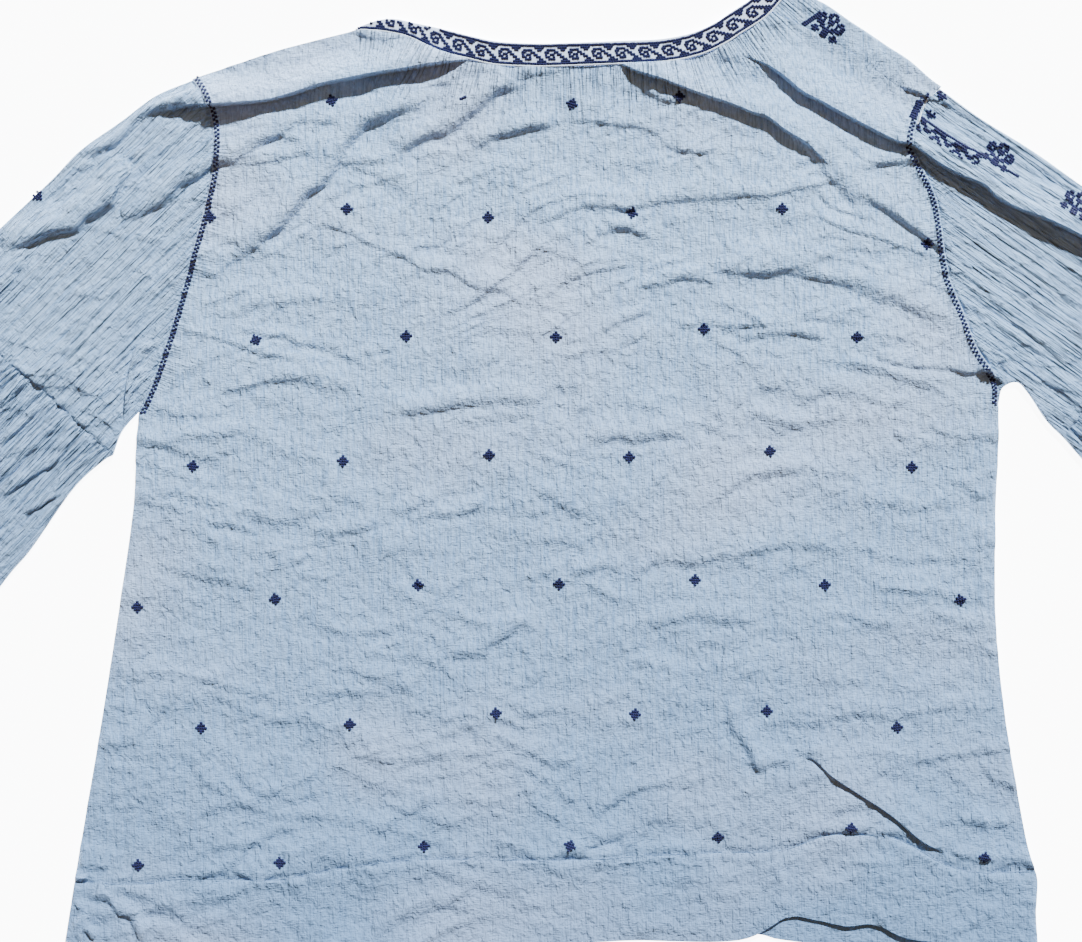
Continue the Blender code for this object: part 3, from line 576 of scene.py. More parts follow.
def neck_gathers(x, y):
    """Fine gathers that fan out from the neck band's seam and fade into the back."""
    distance, _, run = nearest(dense_points(BAND_SEAM), x, y)
    wander = 3.2 * drift(run, distance, 30, 22, 41) * ease(distance / 30)
    reach = 34 + 22 * drift(run, 0 * run, 14, 1, 42)
    fine = np.abs(drift(run + wander, distance, 6.5, 60, 43))
    finer = np.abs(drift(run + wander, distance, 3.6, 34, 44))
    depth = 2.0 * ease(1 - distance / reach) + 0.5 * ease(1 - distance / 80)
    return depth * (fine + 0.4 * finer - 0.45) - 0.9 * ease(1 - distance / 2.0)


def hem_fold(x, y):
    """The turned-up hem lies double below its line of stitches, which draws it in."""
    distance, left, run = nearest(dense_points(HEM_LINE), x, y)
    above = np.exp(-((distance - 4) / 2.6) ** 2)
    below = ease(distance / HEM_STEP) * (1.4 - 0.9 * ease(distance / 22))
    groove = 0.7 * np.exp(-(distance / np.where(left, 3.0, 0.6 * HEM_STEP)) ** 2)
    pucker = 0.35 * drift(run, distance, 7, 14, 51) * ease(1 - distance / 12)
    return np.where(left, above, below) - groove + pucker


def side_edge(x, y, line):
    """The side seam: the edge rolls down to the front, and small puckers run in from it."""
    distance, _, run = nearest(dense_points(line), x, y)
    pucker = 0.8 * drift(run, distance, 11, 26, 61) * ease(1 - distance / 20)
    return pucker * ease(distance / 3) - 0.9 * ease(1 - distance / 3.5)


def body_height(x, y):
    """Height of the back's upper face."""
    folds, free = folds_at(x, y)
    height = FLAT_HEIGHT + 0.3 + free * rumple(x, y) + folds + neck_gathers(x, y)
    height += hem_fold(x, y) + side_edge(x, y, LEFT_SIDE) + side_edge(x, y, RIGHT_SIDE)
    height += seam_edge(x, y, LEFT_ARMHOLE) + seam_edge(x, y, RIGHT_ARMHOLE)
    height += seam_edge(x, y, SHOULDER_SEAM, 0.2, 5, 0.3)
    return settle(height, LOWEST_BACK)


def sleeve_height(x, y, arm):
    """Height of a sleeve's upper face; it rolls down at its top fold and under the arm."""
    edge = np.minimum(*(nearest(dense_points(line), x, y)[0] for line in (arm.top, arm.underarm)))
    near_armhole = ease(1 - nearest(dense_points(arm.armhole), x, y)[0] / 60)
    folds, free = folds_at(x, y)
    height = folds + 0.7 * free * rumple(x, y)
    height += pleats(x, y, arm.turn, arm.seed, 7, arm.pleat_depth)
    height += near_armhole * pleats(x, y, arm.turn - arm.fan, arm.seed + 5, 5, 1.2)
    height += seam_edge(x, y, arm.elbow) + seam_edge(x, y, arm.armhole)
    return settle(FLAT_HEIGHT + 0.3 + height * ease(edge / 9), LOWEST_BACK)


def strip_height(x, y):
    """Height of the strip of the front that rolls over the right shoulder."""
    edge = nearest(dense_points(RIGHT_OUTLINE), x, y)[0]
    height = folds_at(x, y)[0] + 0.5 * rumple(x, y) + pleats(x, y, 0.6, 91, 5, 0.9)
    height += seam_edge(x, y, SHOULDER_SEAM, 0.2, 5, 0.3)
    return settle(FLAT_HEIGHT + 0.2 + height * ease(edge / 7), LOWEST_BACK)


def flounce_height(plan, share, up, arm):
    """Height of a flounce's upper face: tight gathers at the elbow that open into waves."""
    x = plan[..., 0]
    y = plan[..., 1]
    seed = arm.seed + 50
    wander = 0.030 * drift(share, up, 0.16, 0.45, seed) * ease(up / 0.3)
    across = share + wander
    wide = np.abs(drift(across, up, 0.055, 1.3, seed + 1))
    fine = np.abs(drift(across, up, 0.022, 0.8, seed + 2))
    finer = np.abs(drift(across, up, 0.012, 0.45, seed + 3))
    height = (1.0 + 3.4 * ease(up)) * (wide - 0.4) + 2.6 * (1 - 0.45 * ease(up)) * (fine - 0.4)
    height += 1.2 * ease(1 - up / 0.5) * (finer - 0.4) + folds_at(x, y)[0]
    height = height + 0.5 * rumple(x, y) - 1.2 * ease(1 - up / 0.02)
    edge = ease(np.minimum(share, 1 - share) / 0.05)
    return settle(FLAT_HEIGHT + 0.6 + edge * height, LOWEST_BACK - 0.4)


def gather_map(x, y, seams):
    """Where fine gathers run: along the nearest seam, away from it, and how strong they are."""
    found = np.zeros(x.shape + (3,))
    for number, (line, reach, strength) in enumerate(seams):
        distance, _, run = nearest(dense_points(line, ROUGH_STEPS), x, y)
        ragged = reach * (1 + 0.45 * drift(run, 0 * run, 11, 1, 171 + number))
        power = strength * ease(1 - distance / ragged)
        place = np.stack([run + 400 * number, distance, power], axis=-1)
        found = np.where((power > found[..., 2])[..., None], place, found)
    return found


# Seams that gather the cloth: the line, how far the gathers reach from it, and their strength
BODY_GATHERS = (
    (BAND_SEAM, 62, 1.0),
    (LEFT_ARMHOLE, 22, 0.6),
    (RIGHT_ARMHOLE, 22, 0.6),
    (SHOULDER_SEAM, 16, 0.5),
    (HEM_LINE, 9, 0.4),
)
FLOUNCE_GATHERS = (200, 1.1)

# The two arms: their seams and edges, the turn of their pleats and how these fan out at the armhole
LEFT_ARM = SimpleNamespace(
    armhole=LEFT_ARMHOLE, elbow=LEFT_ELBOW, underarm=LEFT_UNDERARM, top=LEFT_SLEEVE_TOP,
    hem=LEFT_FLOUNCE_HEM, under=LEFT_FLOUNCE_UNDER, over=LEFT_FLOUNCE_OVER,
    turn=math.radians(45), fan=0.2, seed=71, pleat_depth=1.5, outward=1,
    gathers=((LEFT_ARMHOLE, 16, 0.4), (LEFT_ELBOW, 14, 0.5)))
RIGHT_ARM = SimpleNamespace(
    armhole=RIGHT_ARMHOLE, elbow=RIGHT_ELBOW, underarm=RIGHT_UNDERARM, top=RIGHT_SLEEVE_TOP,
    hem=RIGHT_FLOUNCE_HEM, under=RIGHT_FLOUNCE_UNDER, over=RIGHT_FLOUNCE_OVER,
    turn=math.radians(-35), fan=0.25, seed=81, pleat_depth=2.1, outward=-1,
    gathers=((RIGHT_ARMHOLE, 22, 0.5), (RIGHT_ELBOW, 14, 0.5)))


# Meshes

# A face that climbs more than this is split along its flatter diagonal
CLIMB = 0.8
SHARP_ANGLE = math.radians(60)


def to_world(points):
    """Move points from the tables' millimetres into the frame's metres."""
    return (points + SHIFT) * MM


def raised(plan, height):
    """Put a height, one value or an array, onto plan points."""
    heights = np.broadcast_to(height, plan.shape[:-1])
    return np.concatenate([plan, heights[..., None]], axis=-1)


def faces_between(number):
    """Corner numbers of the faces of a grid whose points have the given numbers."""
    corners = (number[:-1, :-1], number[:-1, 1:], number[1:, 1:], number[1:, :-1])
    return np.stack(corners, axis=-1).reshape(-1, 4).tolist()


def grid_faces(rows, columns, start=0, closed=False):
    """Corner numbers of the faces of a grid whose points are numbered row by row."""
    number = start + np.arange(rows * columns).reshape(rows, columns)
    if closed:
        number = np.hstack([number, number[:, :1]])
    return faces_between(number)


def rod_faces(rings, sides):
    """Corner numbers of the faces of a rod of rings of points, closed at both ends."""
    last = (rings - 1) * sides
    return grid_faces(rings, sides, closed=True) + [list(range(sides)), list(range(last, last + sides))]


def split_flatly(points, faces):
    """Split the four-sided faces that climb, so that a fold's crest and foot stay clean lines."""
    heights = np.asarray(points)[:, 2]
    split = []
    for face in faces:
        if len(face) != 4:
            split.append(face)
            continue
        a, b, c, d = face
        levels = (heights[a], heights[b], heights[c], heights[d])
        if max(levels) - min(levels) < CLIMB:
            split.append(face)
        elif abs(levels[0] - levels[2]) < abs(levels[1] - levels[3]):
            split += [[a, b, c], [a, c, d]]
        else:
            split += [[a, b, d], [b, c, d]]
    return split


def new_piece(name, points, faces, material, gathers=None):
    """Make a piece of points in the tables' millimetres, and let it ride on the one body."""
    data = bpy.data.meshes.new(name)
    data.from_pydata(to_world(points).tolist(), [], faces)
    if gathers is not None:
        values = data.attributes.new("gathers", "FLOAT_VECTOR", "POINT")
        values.data.foreach_set("vector", gathers.astype(np.float32).ravel())
    mesh = bmesh.new()
    mesh.from_mesh(data)
    bmesh.ops.recalc_face_normals(mesh, faces=mesh.faces[:])
    mesh.to_mesh(data)
    mesh.free()
    data.shade_smooth()
    data.set_sharp_from_angle(angle=SHARP_ANGLE)
    data.materials.append(material)
    piece = bpy.data.objects.new(name, data)
    bpy.context.scene.collection.objects.link(piece)
    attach(piece, "root")
    return piece


# Grid of the back's upper face: columns, rows beside the side seams and rows beside the armholes.
# The columns are shared out over the shoulder, the neck and the other shoulder, and the armholes
# start at a share of the height. The face below takes each fourth point.
BACK_COLUMNS = 272
BACK_LOWER_ROWS = 140
BACK_UPPER_ROWS = 152
BACK_SHARES = (52, 168, 52)
UPPER_START = 0.62
UNDER_STEP = 4
BACK_PITCH = 2.3


def back_cloth(material):
    """The back: a dense upper face, a coarse face below it, and a rim round both."""
    across = np.linspace(0, 1, BACK_COLUMNS + 1)[None, :]
    lower_rows = np.linspace(0, UPPER_START, BACK_LOWER_ROWS, endpoint=False)
    up = np.append(lower_rows, np.linspace(UPPER_START, 1, BACK_UPPER_ROWS + 1))[:, None]
    seam = smooth_line(BAND_SEAM)
    meets_strip = seam_share(seam, SHOULDER_SEAM[0])
    neck = beside(lambda fraction: seam(np.asarray(fraction) * meets_strip), -SEAM_GAP)
    top = joined((smooth_line(LEFT_SHOULDER), neck, smooth_line(SHOULDER_SEAM)), BACK_SHARES)
    shares = (UPPER_START, 1 - UPPER_START)
    left = joined((smooth_line(LEFT_SIDE), smooth_line(LEFT_ARMHOLE)), shares)
    right = joined((smooth_line(RIGHT_SIDE), smooth_line(RIGHT_ARMHOLE)), shares)
    plan = fill(smooth_line(BACK_HEM), top, left, right, across, up)
    plan = drawn_to_folds(plan, BACK_PITCH)
    height = body_height(plan[..., 0], plan[..., 1])
    upper = raised(plan, height)

    rows, columns = height.shape
    padded = np.pad(height, UNDER_STEP, mode="edge")
    lowest = height.copy()
    for row_step in range(0, 2 * UNDER_STEP + 1, 2):
        for column_step in range(0, 2 * UNDER_STEP + 1, 2):
            window = padded[row_step:row_step + rows, column_step:column_step + columns]
            lowest = np.minimum(lowest, window)
    under_height = np.maximum(lowest - CLOTH, FRONT_TOP + 0.25)
    under = raised(plan, under_height)[::UNDER_STEP, ::UNDER_STEP]

    start = rows * columns
    under_rows, under_columns = under.shape[:2]
    faces = grid_faces(rows, columns) + grid_faces(under_rows, under_columns, start)
    dense = np.arange(rows * columns).reshape(rows, columns)
    coarse = start + np.arange(under_rows * under_columns).reshape(under_rows, under_columns)
    edges = ((dense[0], coarse[0]), (dense[-1], coarse[-1]), (dense[:, 0], coarse[:, 0]),
             (dense[:, -1], coarse[:, -1]))
    for dense_edge, coarse_edge in edges:
        for i in range(len(coarse_edge) - 1):
            span = dense_edge[i * UNDER_STEP:(i + 1) * UNDER_STEP + 1]
            faces.append([int(v) for v in span] + [int(coarse_edge[i + 1]), int(coarse_edge[i])])
    points = np.vstack([upper.reshape(-1, 3), under.reshape(-1, 3)])
    gathers = gather_map(points[:, 0], points[:, 1], BODY_GATHERS)
    return new_piece("back_cloth", points, split_flatly(points, faces), material, gathers)


def front_neckline(inset):
    """The neckline's half ellipse, drawn in from the panel's edge by an inset."""
    left = np.array(LEFT_SHOULDER[-1], dtype=float)
    right = np.array(RIGHT_OUTLINE[0], dtype=float)
    along = (right - left) / np.linalg.norm(right - left)
    left = left + inset * along
    right = right - inset * along

    def at(fraction):
        turn = math.pi * np.asarray(fraction, dtype=float)[..., None]
        chord = (left + right) / 2 + (left - right) / 2 * np.cos(turn)
        return chord - np.array((0, FRONT_NECK_DROP - inset)) * np.sin(turn)

    return at


def rolled_armhole():
    """The right armhole, carried on over the rolled strip to the outline."""
    strip_end = smooth_line((RIGHT_ARMHOLE[-1], RIGHT_OUTLINE[-1]))
    return joined((smooth_line(RIGHT_ARMHOLE), strip_end), (20, 1))


# Distance between the front's points, from row to row as in equal triangles, and how near its edge
# they may come; then the grid of the strip that rolls over, and the angles round a turned edge
FRONT_PITCH = 9.0
FRONT_ROW_PITCH = 0.87 * FRONT_PITCH
FRONT_MARGIN = 0.45 * FRONT_PITCH
STRIP_COLUMNS = 70
STRIP_ROWS = 16
TURN_ANGLES = (60, 30, 0, -30, -60)


def front_cloth(material):
    """The front, flat on the surface; at the right shoulder it rolls over onto the back."""
    edges = (
        (smooth_line(FRONT_HEM), np.linspace(0, 1, 90)),
        (smooth_line(RIGHT_SIDE), np.linspace(0, 1, 55)),
        (rolled_armhole(), np.linspace(0, 1, 40)),
        (smooth_line(RIGHT_OUTLINE), np.linspace(1, 0, STRIP_COLUMNS + 1)),
        (front_neckline(0), np.linspace(1, 0, 60)),
        (smooth_line(LEFT_SHOULDER), np.linspace(1, 0, 20)),
        (smooth_line(LEFT_ARMHOLE), np.linspace(1, 0, 40)),
        (smooth_line(LEFT_SIDE), np.linspace(1, 0, 55)),
    )
    rim = np.vstack([line(shares[:-1]) for line, shares in edges])
    roll_start = sum(len(shares) - 1 for _, shares in edges[:3])
    inside = []
    for row, y in enumerate(np.arange(6, 640, FRONT_ROW_PITCH)):
        for x in np.arange(-345, 330, FRONT_PITCH) + (row % 2) * FRONT_PITCH / 2:
            inside.append((x, y))
    inside = np.array(inside)
    gap = nearest(np.vstack([rim, rim[:1]]), inside[:, 0], inside[:, 1])[0]
    keep = (gap > FRONT_MARGIN) & within(rim, inside[:, 0], inside[:, 1])
    inside = inside[keep]
    flat = [tuple(map(float, point)) for point in np.vstack([rim, inside])]
    loop = list(range(len(rim)))
    found = delaunay_2d_cdt(flat, [], [loop], 1, 1e-5, True)
    plan = np.array([tuple(point) for point in found[0]])
    place = {}
    for number, sources in enumerate(found[3]):
        for source in sources:
            place[source] = number
    below = raised(plan, 0.0)
    step_in = np.zeros(below.shape)
    step_in[:, 2] = FRONT_TOP + 0.1 * drift(plan[:, 0], plan[:, 1], 18, 12, 55)

    rolled = np.linspace(0, 1, STRIP_COLUMNS + 1)
    edge_line = smooth_line(RIGHT_OUTLINE)
    outward = beside(edge_line, 1.0)(rolled) - edge_line(rolled)
    seam = beside(smooth_line(SHOULDER_SEAM), SEAM_GAP)
    sleeve_end = smooth_line((SHOULDER_SEAM[-1], RIGHT_OUTLINE[-1]))
    neck_end = smooth_line((SHOULDER_SEAM[0], (149.9, 649.6), RIGHT_OUTLINE[0]))
    strip = fill(seam, edge_line, neck_end, sleeve_end, rolled[None, :],
                 np.linspace(1, 0, STRIP_ROWS + 1)[:, None])
    strip_top = strip_height(strip[..., 0], strip[..., 1])
    outer = []
    steps = []
    for angle in reversed(TURN_ANGLES):
        reach = math.cos(math.radians(angle))
        half = strip_top[0] / 2
        edge = edge_line(rolled) + outward * TURN * reach
        outer.append(raised(edge, half * (1 + math.sin(math.radians(angle)))))
        steps.append(raised(-outward * CLOTH * reach, -CLOTH * math.sin(math.radians(angle))))
    for row, top in zip(strip, strip_top):
        outer.append(raised(row, top))
        steps.append(raised(0 * row, -CLOTH))
    outer = np.array(outer)
    start = len(below)
    rows = start + np.arange(outer.shape[0] * outer.shape[1]).reshape(outer.shape[:2])
    first = np.array([place[i] for i in range(roll_start, roll_start + STRIP_COLUMNS + 1)])[::-1]
    rows = np.vstack([first, rows])
    triangles = np.array([list(face) for face in found[2]])
    centres = plan[triangles].mean(axis=1)
    faces = triangles[within(rim, centres[:, 0], centres[:, 1])].tolist()
    faces += faces_between(rows)
    points = np.vstack([below, outer.reshape(-1, 3)])
    steps = np.vstack([step_in, np.array(steps).reshape(-1, 3)])
    points, faces = thickened(points, faces, steps)
    gathers = gather_map(points[:, 0], points[:, 1], BODY_GATHERS)
    return new_piece("front_cloth", points, faces, material, gathers)


def thickened(points, faces, steps):
    """Give a sheet its inner face, a step in from each point, and join the two round the rim."""
    count = {}
    for face in faces:
        for a, b in zip(face, face[1:] + face[:1]):
            key = (min(a, b), max(a, b))
            count[key] = None if key in count else (a, b)
    inner = [[v + len(points) for v in reversed(face)] for face in faces]
    rim = [[b, a, a + len(points), b + len(points)] for a, b in filter(None, count.values())]
    return np.vstack([points, points + steps]), faces + inner + rim


# Columns and rows of the upper face, and the step between the columns that the lower face takes
SLEEVE_GRID = (140, 110, 5)
FLOUNCE_GRID = (240, 100, 8)
TUBE_PITCH = 1.8


def tube(name, near, far, under, over, grid, height, gathers, material):
    """A flattened tube of cloth between two seams, with its ends turned in."""
    columns, rows, lower_step = grid
    up = np.linspace(0, 1, rows + 1)[:, None]
    share = np.linspace(0, 1, columns + 1)[None, :]
    ends = fill(near, far, under, over, np.array((0.0, 1.0))[None, :], up)
    inset = TURN / np.linalg.norm(ends[:, 1] - ends[:, 0], axis=1)[:, None]
    upper = fill(near, far, under, over, inset + (1 - 2 * inset) * share, up)
    upper = drawn_to_folds(upper, TUBE_PITCH)
    top = height(upper, share, up)
    lower = upper[:, ::-1][:, ::lower_step]

    def ring(row, thinner):
        """One ring of points at a row, drawn in all round by a distance."""
        over_out = upper[row, -1] - upper[row, -3]
        under_out = upper[row, 0] - upper[row, 2]
        over_out = over_out / np.linalg.norm(over_out)
        under_out = under_out / np.linalg.norm(under_out)
        points = [raised(upper[row], top[row] - thinner)]
        for place, out, angles in ((-1, over_out, TURN_ANGLES), (0, under_out, TURN_ANGLES[::-1])):
            half = top[row, place] / 2
            for angle in angles:
                reach = (TURN - thinner) * math.cos(math.radians(angle))
                rise = (half - thinner) * math.sin(math.radians(angle))
                points.append(np.append(upper[row, place] + out * reach, half + rise)[None, :])
            if place == -1:
                points.append(raised(lower[row], thinner))
        return np.vstack(points)

    turned_in = 5
    rings = [ring(turned_in, CLOTH), ring(0, CLOTH)]
    rings += [ring(row, 0.0) for row in range(rows + 1)]
    rings += [ring(rows, CLOTH), ring(rows - turned_in, CLOTH)]
    points = np.array(rings)
    faces = grid_faces(len(rings), points.shape[1], closed=True)
    points = points.reshape(-1, 3)
    gathered = gather_map(points[:, 0], points[:, 1], gathers)
    return new_piece(name, points, split_flatly(points, faces), material, gathered)


# Share of the band's width and of its height, round its folded section
BAND_PROFILE = ((0.0, 0.55), (0.03, 0.9), (0.2, 1.0), (0.5, 1.03), (0.8, 1.0), (0.97, 0.9), (1.0, 0.55),
                (0.98, 0.1), (0.9, 0.0), (0.5, 0.0), (0.1, 0.0), (0.02, 0.1))
THREAD_SIDES = 8
THREAD_SHARES = np.linspace(0, 1, 241)


def band(name, seam, opening, columns, low, top, material):
    """A neck band: folded cloth with rounded edges, closed at both ends."""
    share = np.linspace(0, 1, columns + 1)
    start = seam(share)
    width = opening(share) - start
    rings = np.array([raised(start + part * width, low + rise * (top - low))
                      for part, rise in BAND_PROFILE]).transpose(1, 0, 2)
    faces = rod_faces(columns + 1, len(BAND_PROFILE))
    return new_piece(name, rings.reshape(-1, 3), faces, material)


def thread(name, line, radius, lift, aside, material):
    """A round piping or sewing thread along a line, moved to the line's left by a distance."""
    centre = raised(line(THREAD_SHARES), lift)
    outward = raised(beside(line, 1.0)(THREAD_SHARES) - line(THREAD_SHARES), 0.0)
    rings = []
    for turn in np.linspace(0, 2 * math.pi, THREAD_SIDES, endpoint=False):
        rise = np.array((0, 0, radius * math.sin(turn)))
        rings.append(centre + outward * (radius * math.cos(turn) + aside) + rise)
    points = np.array(rings).transpose(1, 0, 2)
    faces = rod_faces(len(THREAD_SHARES), THREAD_SIDES)
    return new_piece(name, points.reshape(-1, 3), faces, material)


# Embroidery

FLOSS_RADIUS = 0.52
STRAND_PARTS = (-0.5, -0.2, 0.2, 0.5)
STRAND_LIFTS = ((0.0, 0.42, 0.42, 0.0), (0.05, 0.72, 0.72, 0.05))


def cross_stitches(name, cells, height, material, seed):
    """A mesh of cross-stitches; each cell is X, Y, the direction along its row, and its size."""
    cells = np.array(cells, dtype=float)
    chance = np.random.default_rng(seed)
    turn = cells[:, 2] + chance.normal(0, 0.07, len(cells))
    middle = cells[:, :2] + chance.normal(0, 0.08, (len(cells), 2))
    long_way = cells[:, 3] * 1.32
    points = []
    for strand, lean in enumerate((math.pi / 4, -math.pi / 4)):
        along = np.stack([np.cos(turn + lean), np.sin(turn + lean)], axis=1)
        aside = np.stack([-along[:, 1], along[:, 0]], axis=1)
        for part, lift in zip(STRAND_PARTS, STRAND_LIFTS[strand]):
            place = middle + along * (long_way * part)[:, None]
            level = height(place[:, 0], place[:, 1]) + lift
            for side, rise in ((-1, 0), (0, 0.8), (1, 0), (0, -0.6)):
                points.append(raised(place + aside * side * FLOSS_RADIUS, level + rise * FLOSS_RADIUS))
    points = np.array(points).transpose(1, 0, 2)
    template = []
    for strand in range(2):
        first = strand * 16
        template += grid_faces(4, 4, first, closed=True)
        template += [[first, first + 1, first + 2, first + 3], [first + 12 + i for i in range(4)]]
    template = np.array(template)
    numbers = template[None] + 32 * np.arange(len(cells))[:, None, None]
    return new_piece(name, points.reshape(-1, 3), numbers.reshape(-1, 4).tolist(), material)


def chart_cells(chart, centre, turn, size=STITCH):
    """Cells of a chart centred on a point, with its rows turned to a direction."""
    cells = []
    for row, marks in enumerate(chart):
        for column, mark in enumerate(marks):
            if mark == "#":
                a = (column - (len(marks) - 1) / 2) * size
                b = ((len(chart) - 1) / 2 - row) * size
                cells.append((centre[0] + a * math.cos(turn) - b * math.sin(turn),
                              centre[1] + a * math.sin(turn) + b * math.cos(turn), turn, size))
    return cells


def line_cells(points, offset, pitch, start=0.0, stop=None, size=1.5):
    """Cells in a row beside a line, one each pitch."""
    dense = dense_points(points)
    spans = np.linalg.norm(np.diff(dense, axis=0), axis=1)
    reach = np.append(0, np.cumsum(spans))
    places = np.arange(start, reach[-1] if stop is None else stop, pitch)
    x = np.interp(places, reach, dense[:, 0])
    y = np.interp(places, reach, dense[:, 1])
    ahead_x = np.interp(places + 1, reach, dense[:, 0]) - np.interp(places - 1, reach, dense[:, 0])
    ahead_y = np.interp(places + 1, reach, dense[:, 1]) - np.interp(places - 1, reach, dense[:, 1])
    turn = np.arctan2(ahead_y, ahead_x)
    return np.stack([x - offset * np.sin(turn), y + offset * np.cos(turn), turn,
                     np.full(len(x), size)], axis=1).tolist()


def chart_along(chart, points, offset, repeats, size=STITCH):
    """Cells of a chart repeated along a line, with its last row at an offset to the line's left."""
    columns = len(chart[0])
    cells = []
    for row, marks in enumerate(chart):
        away = offset + (len(chart) - 1 - row) * size
        for column, mark in enumerate(marks):
            if mark == "#":
                start = (column + 0.5) * size
                cells += line_cells(points, away, columns * size, start, repeats * columns * size,
                                    size=size)
    return cells


# Height of the scroll's first row above the band's seam, the height of its rows together, and the
# bare edge at the opening
SCROLL_FOOT = 1.9
SCROLL_HEIGHT = 12.8
SCROLL_EDGE = 0.9


def band_cells():
    """The running scroll on the neck band; rows that the band has no room for roll out of sight."""
    seam = smooth_line(BAND_SEAM)
    opening = smooth_line(BAND_OPENING)
    fine = seam(np.linspace(0, 1, 400))
    length = np.linalg.norm(np.diff(fine, axis=0), axis=1).sum()
    stitches = int(length / STITCH)
    rows = len(SCROLL_CHART)
    cells = []
    for number in range(stitches):
        share = (number + 0.5) / stitches
        start = seam(share)
        across = opening(share) - start
        width = np.linalg.norm(across)
        along = seam(min(share + 0.01, 1)) - seam(max(share - 0.01, 0))
        turn = math.atan2(along[1], along[0])
        for row in range(rows):
            away = SCROLL_FOOT + (rows - 1 - row) * SCROLL_HEIGHT / (rows - 1)
            mark = SCROLL_CHART[row][number % len(SCROLL_CHART[0])]
            if mark == "#" and away < width - SCROLL_EDGE:
                place = start + across * away / width
                cells.append((place[0], place[1], turn, STITCH))
    return cells


# Materials

def linear_colour(code):
    """Turn an sRGB colour code into the linear values that a shader takes."""
    shares = [int(code[i:i + 2], 16) / 255 for i in (0, 2, 4)]
    return [s / 12.92 if s <= 0.04045 else ((s + 0.055) / 1.055) ** 2.4 for s in shares] + [1.0]


def add_node(tree, kind, settings=None, values=None, links=None):
    """Add a node, set its properties and its sockets' values, and link its inputs."""
    node = tree.nodes.new(kind)
    for key, value in (settings or {}).items():
        setattr(node, key, value)
    for key, value in (values or {}).items():
        node.inputs[key].default_value = value
    for key, source in (links or {}).items():
        tree.links.new(source, node.inputs[key])
    return node


def new_material(name, values):
    """A material with an output node and a shader that has the given values."""
    material = bpy.data.materials.new(name)
    material.use_nodes = True
    tree = material.node_tree
    tree.nodes.clear()
    output = add_node(tree, "ShaderNodeOutputMaterial")
    shader = add_node(tree, "ShaderNodeBsdfPrincipled", None, values)
    tree.links.new(shader.outputs[0], output.inputs["Surface"])
    return material, tree, shader


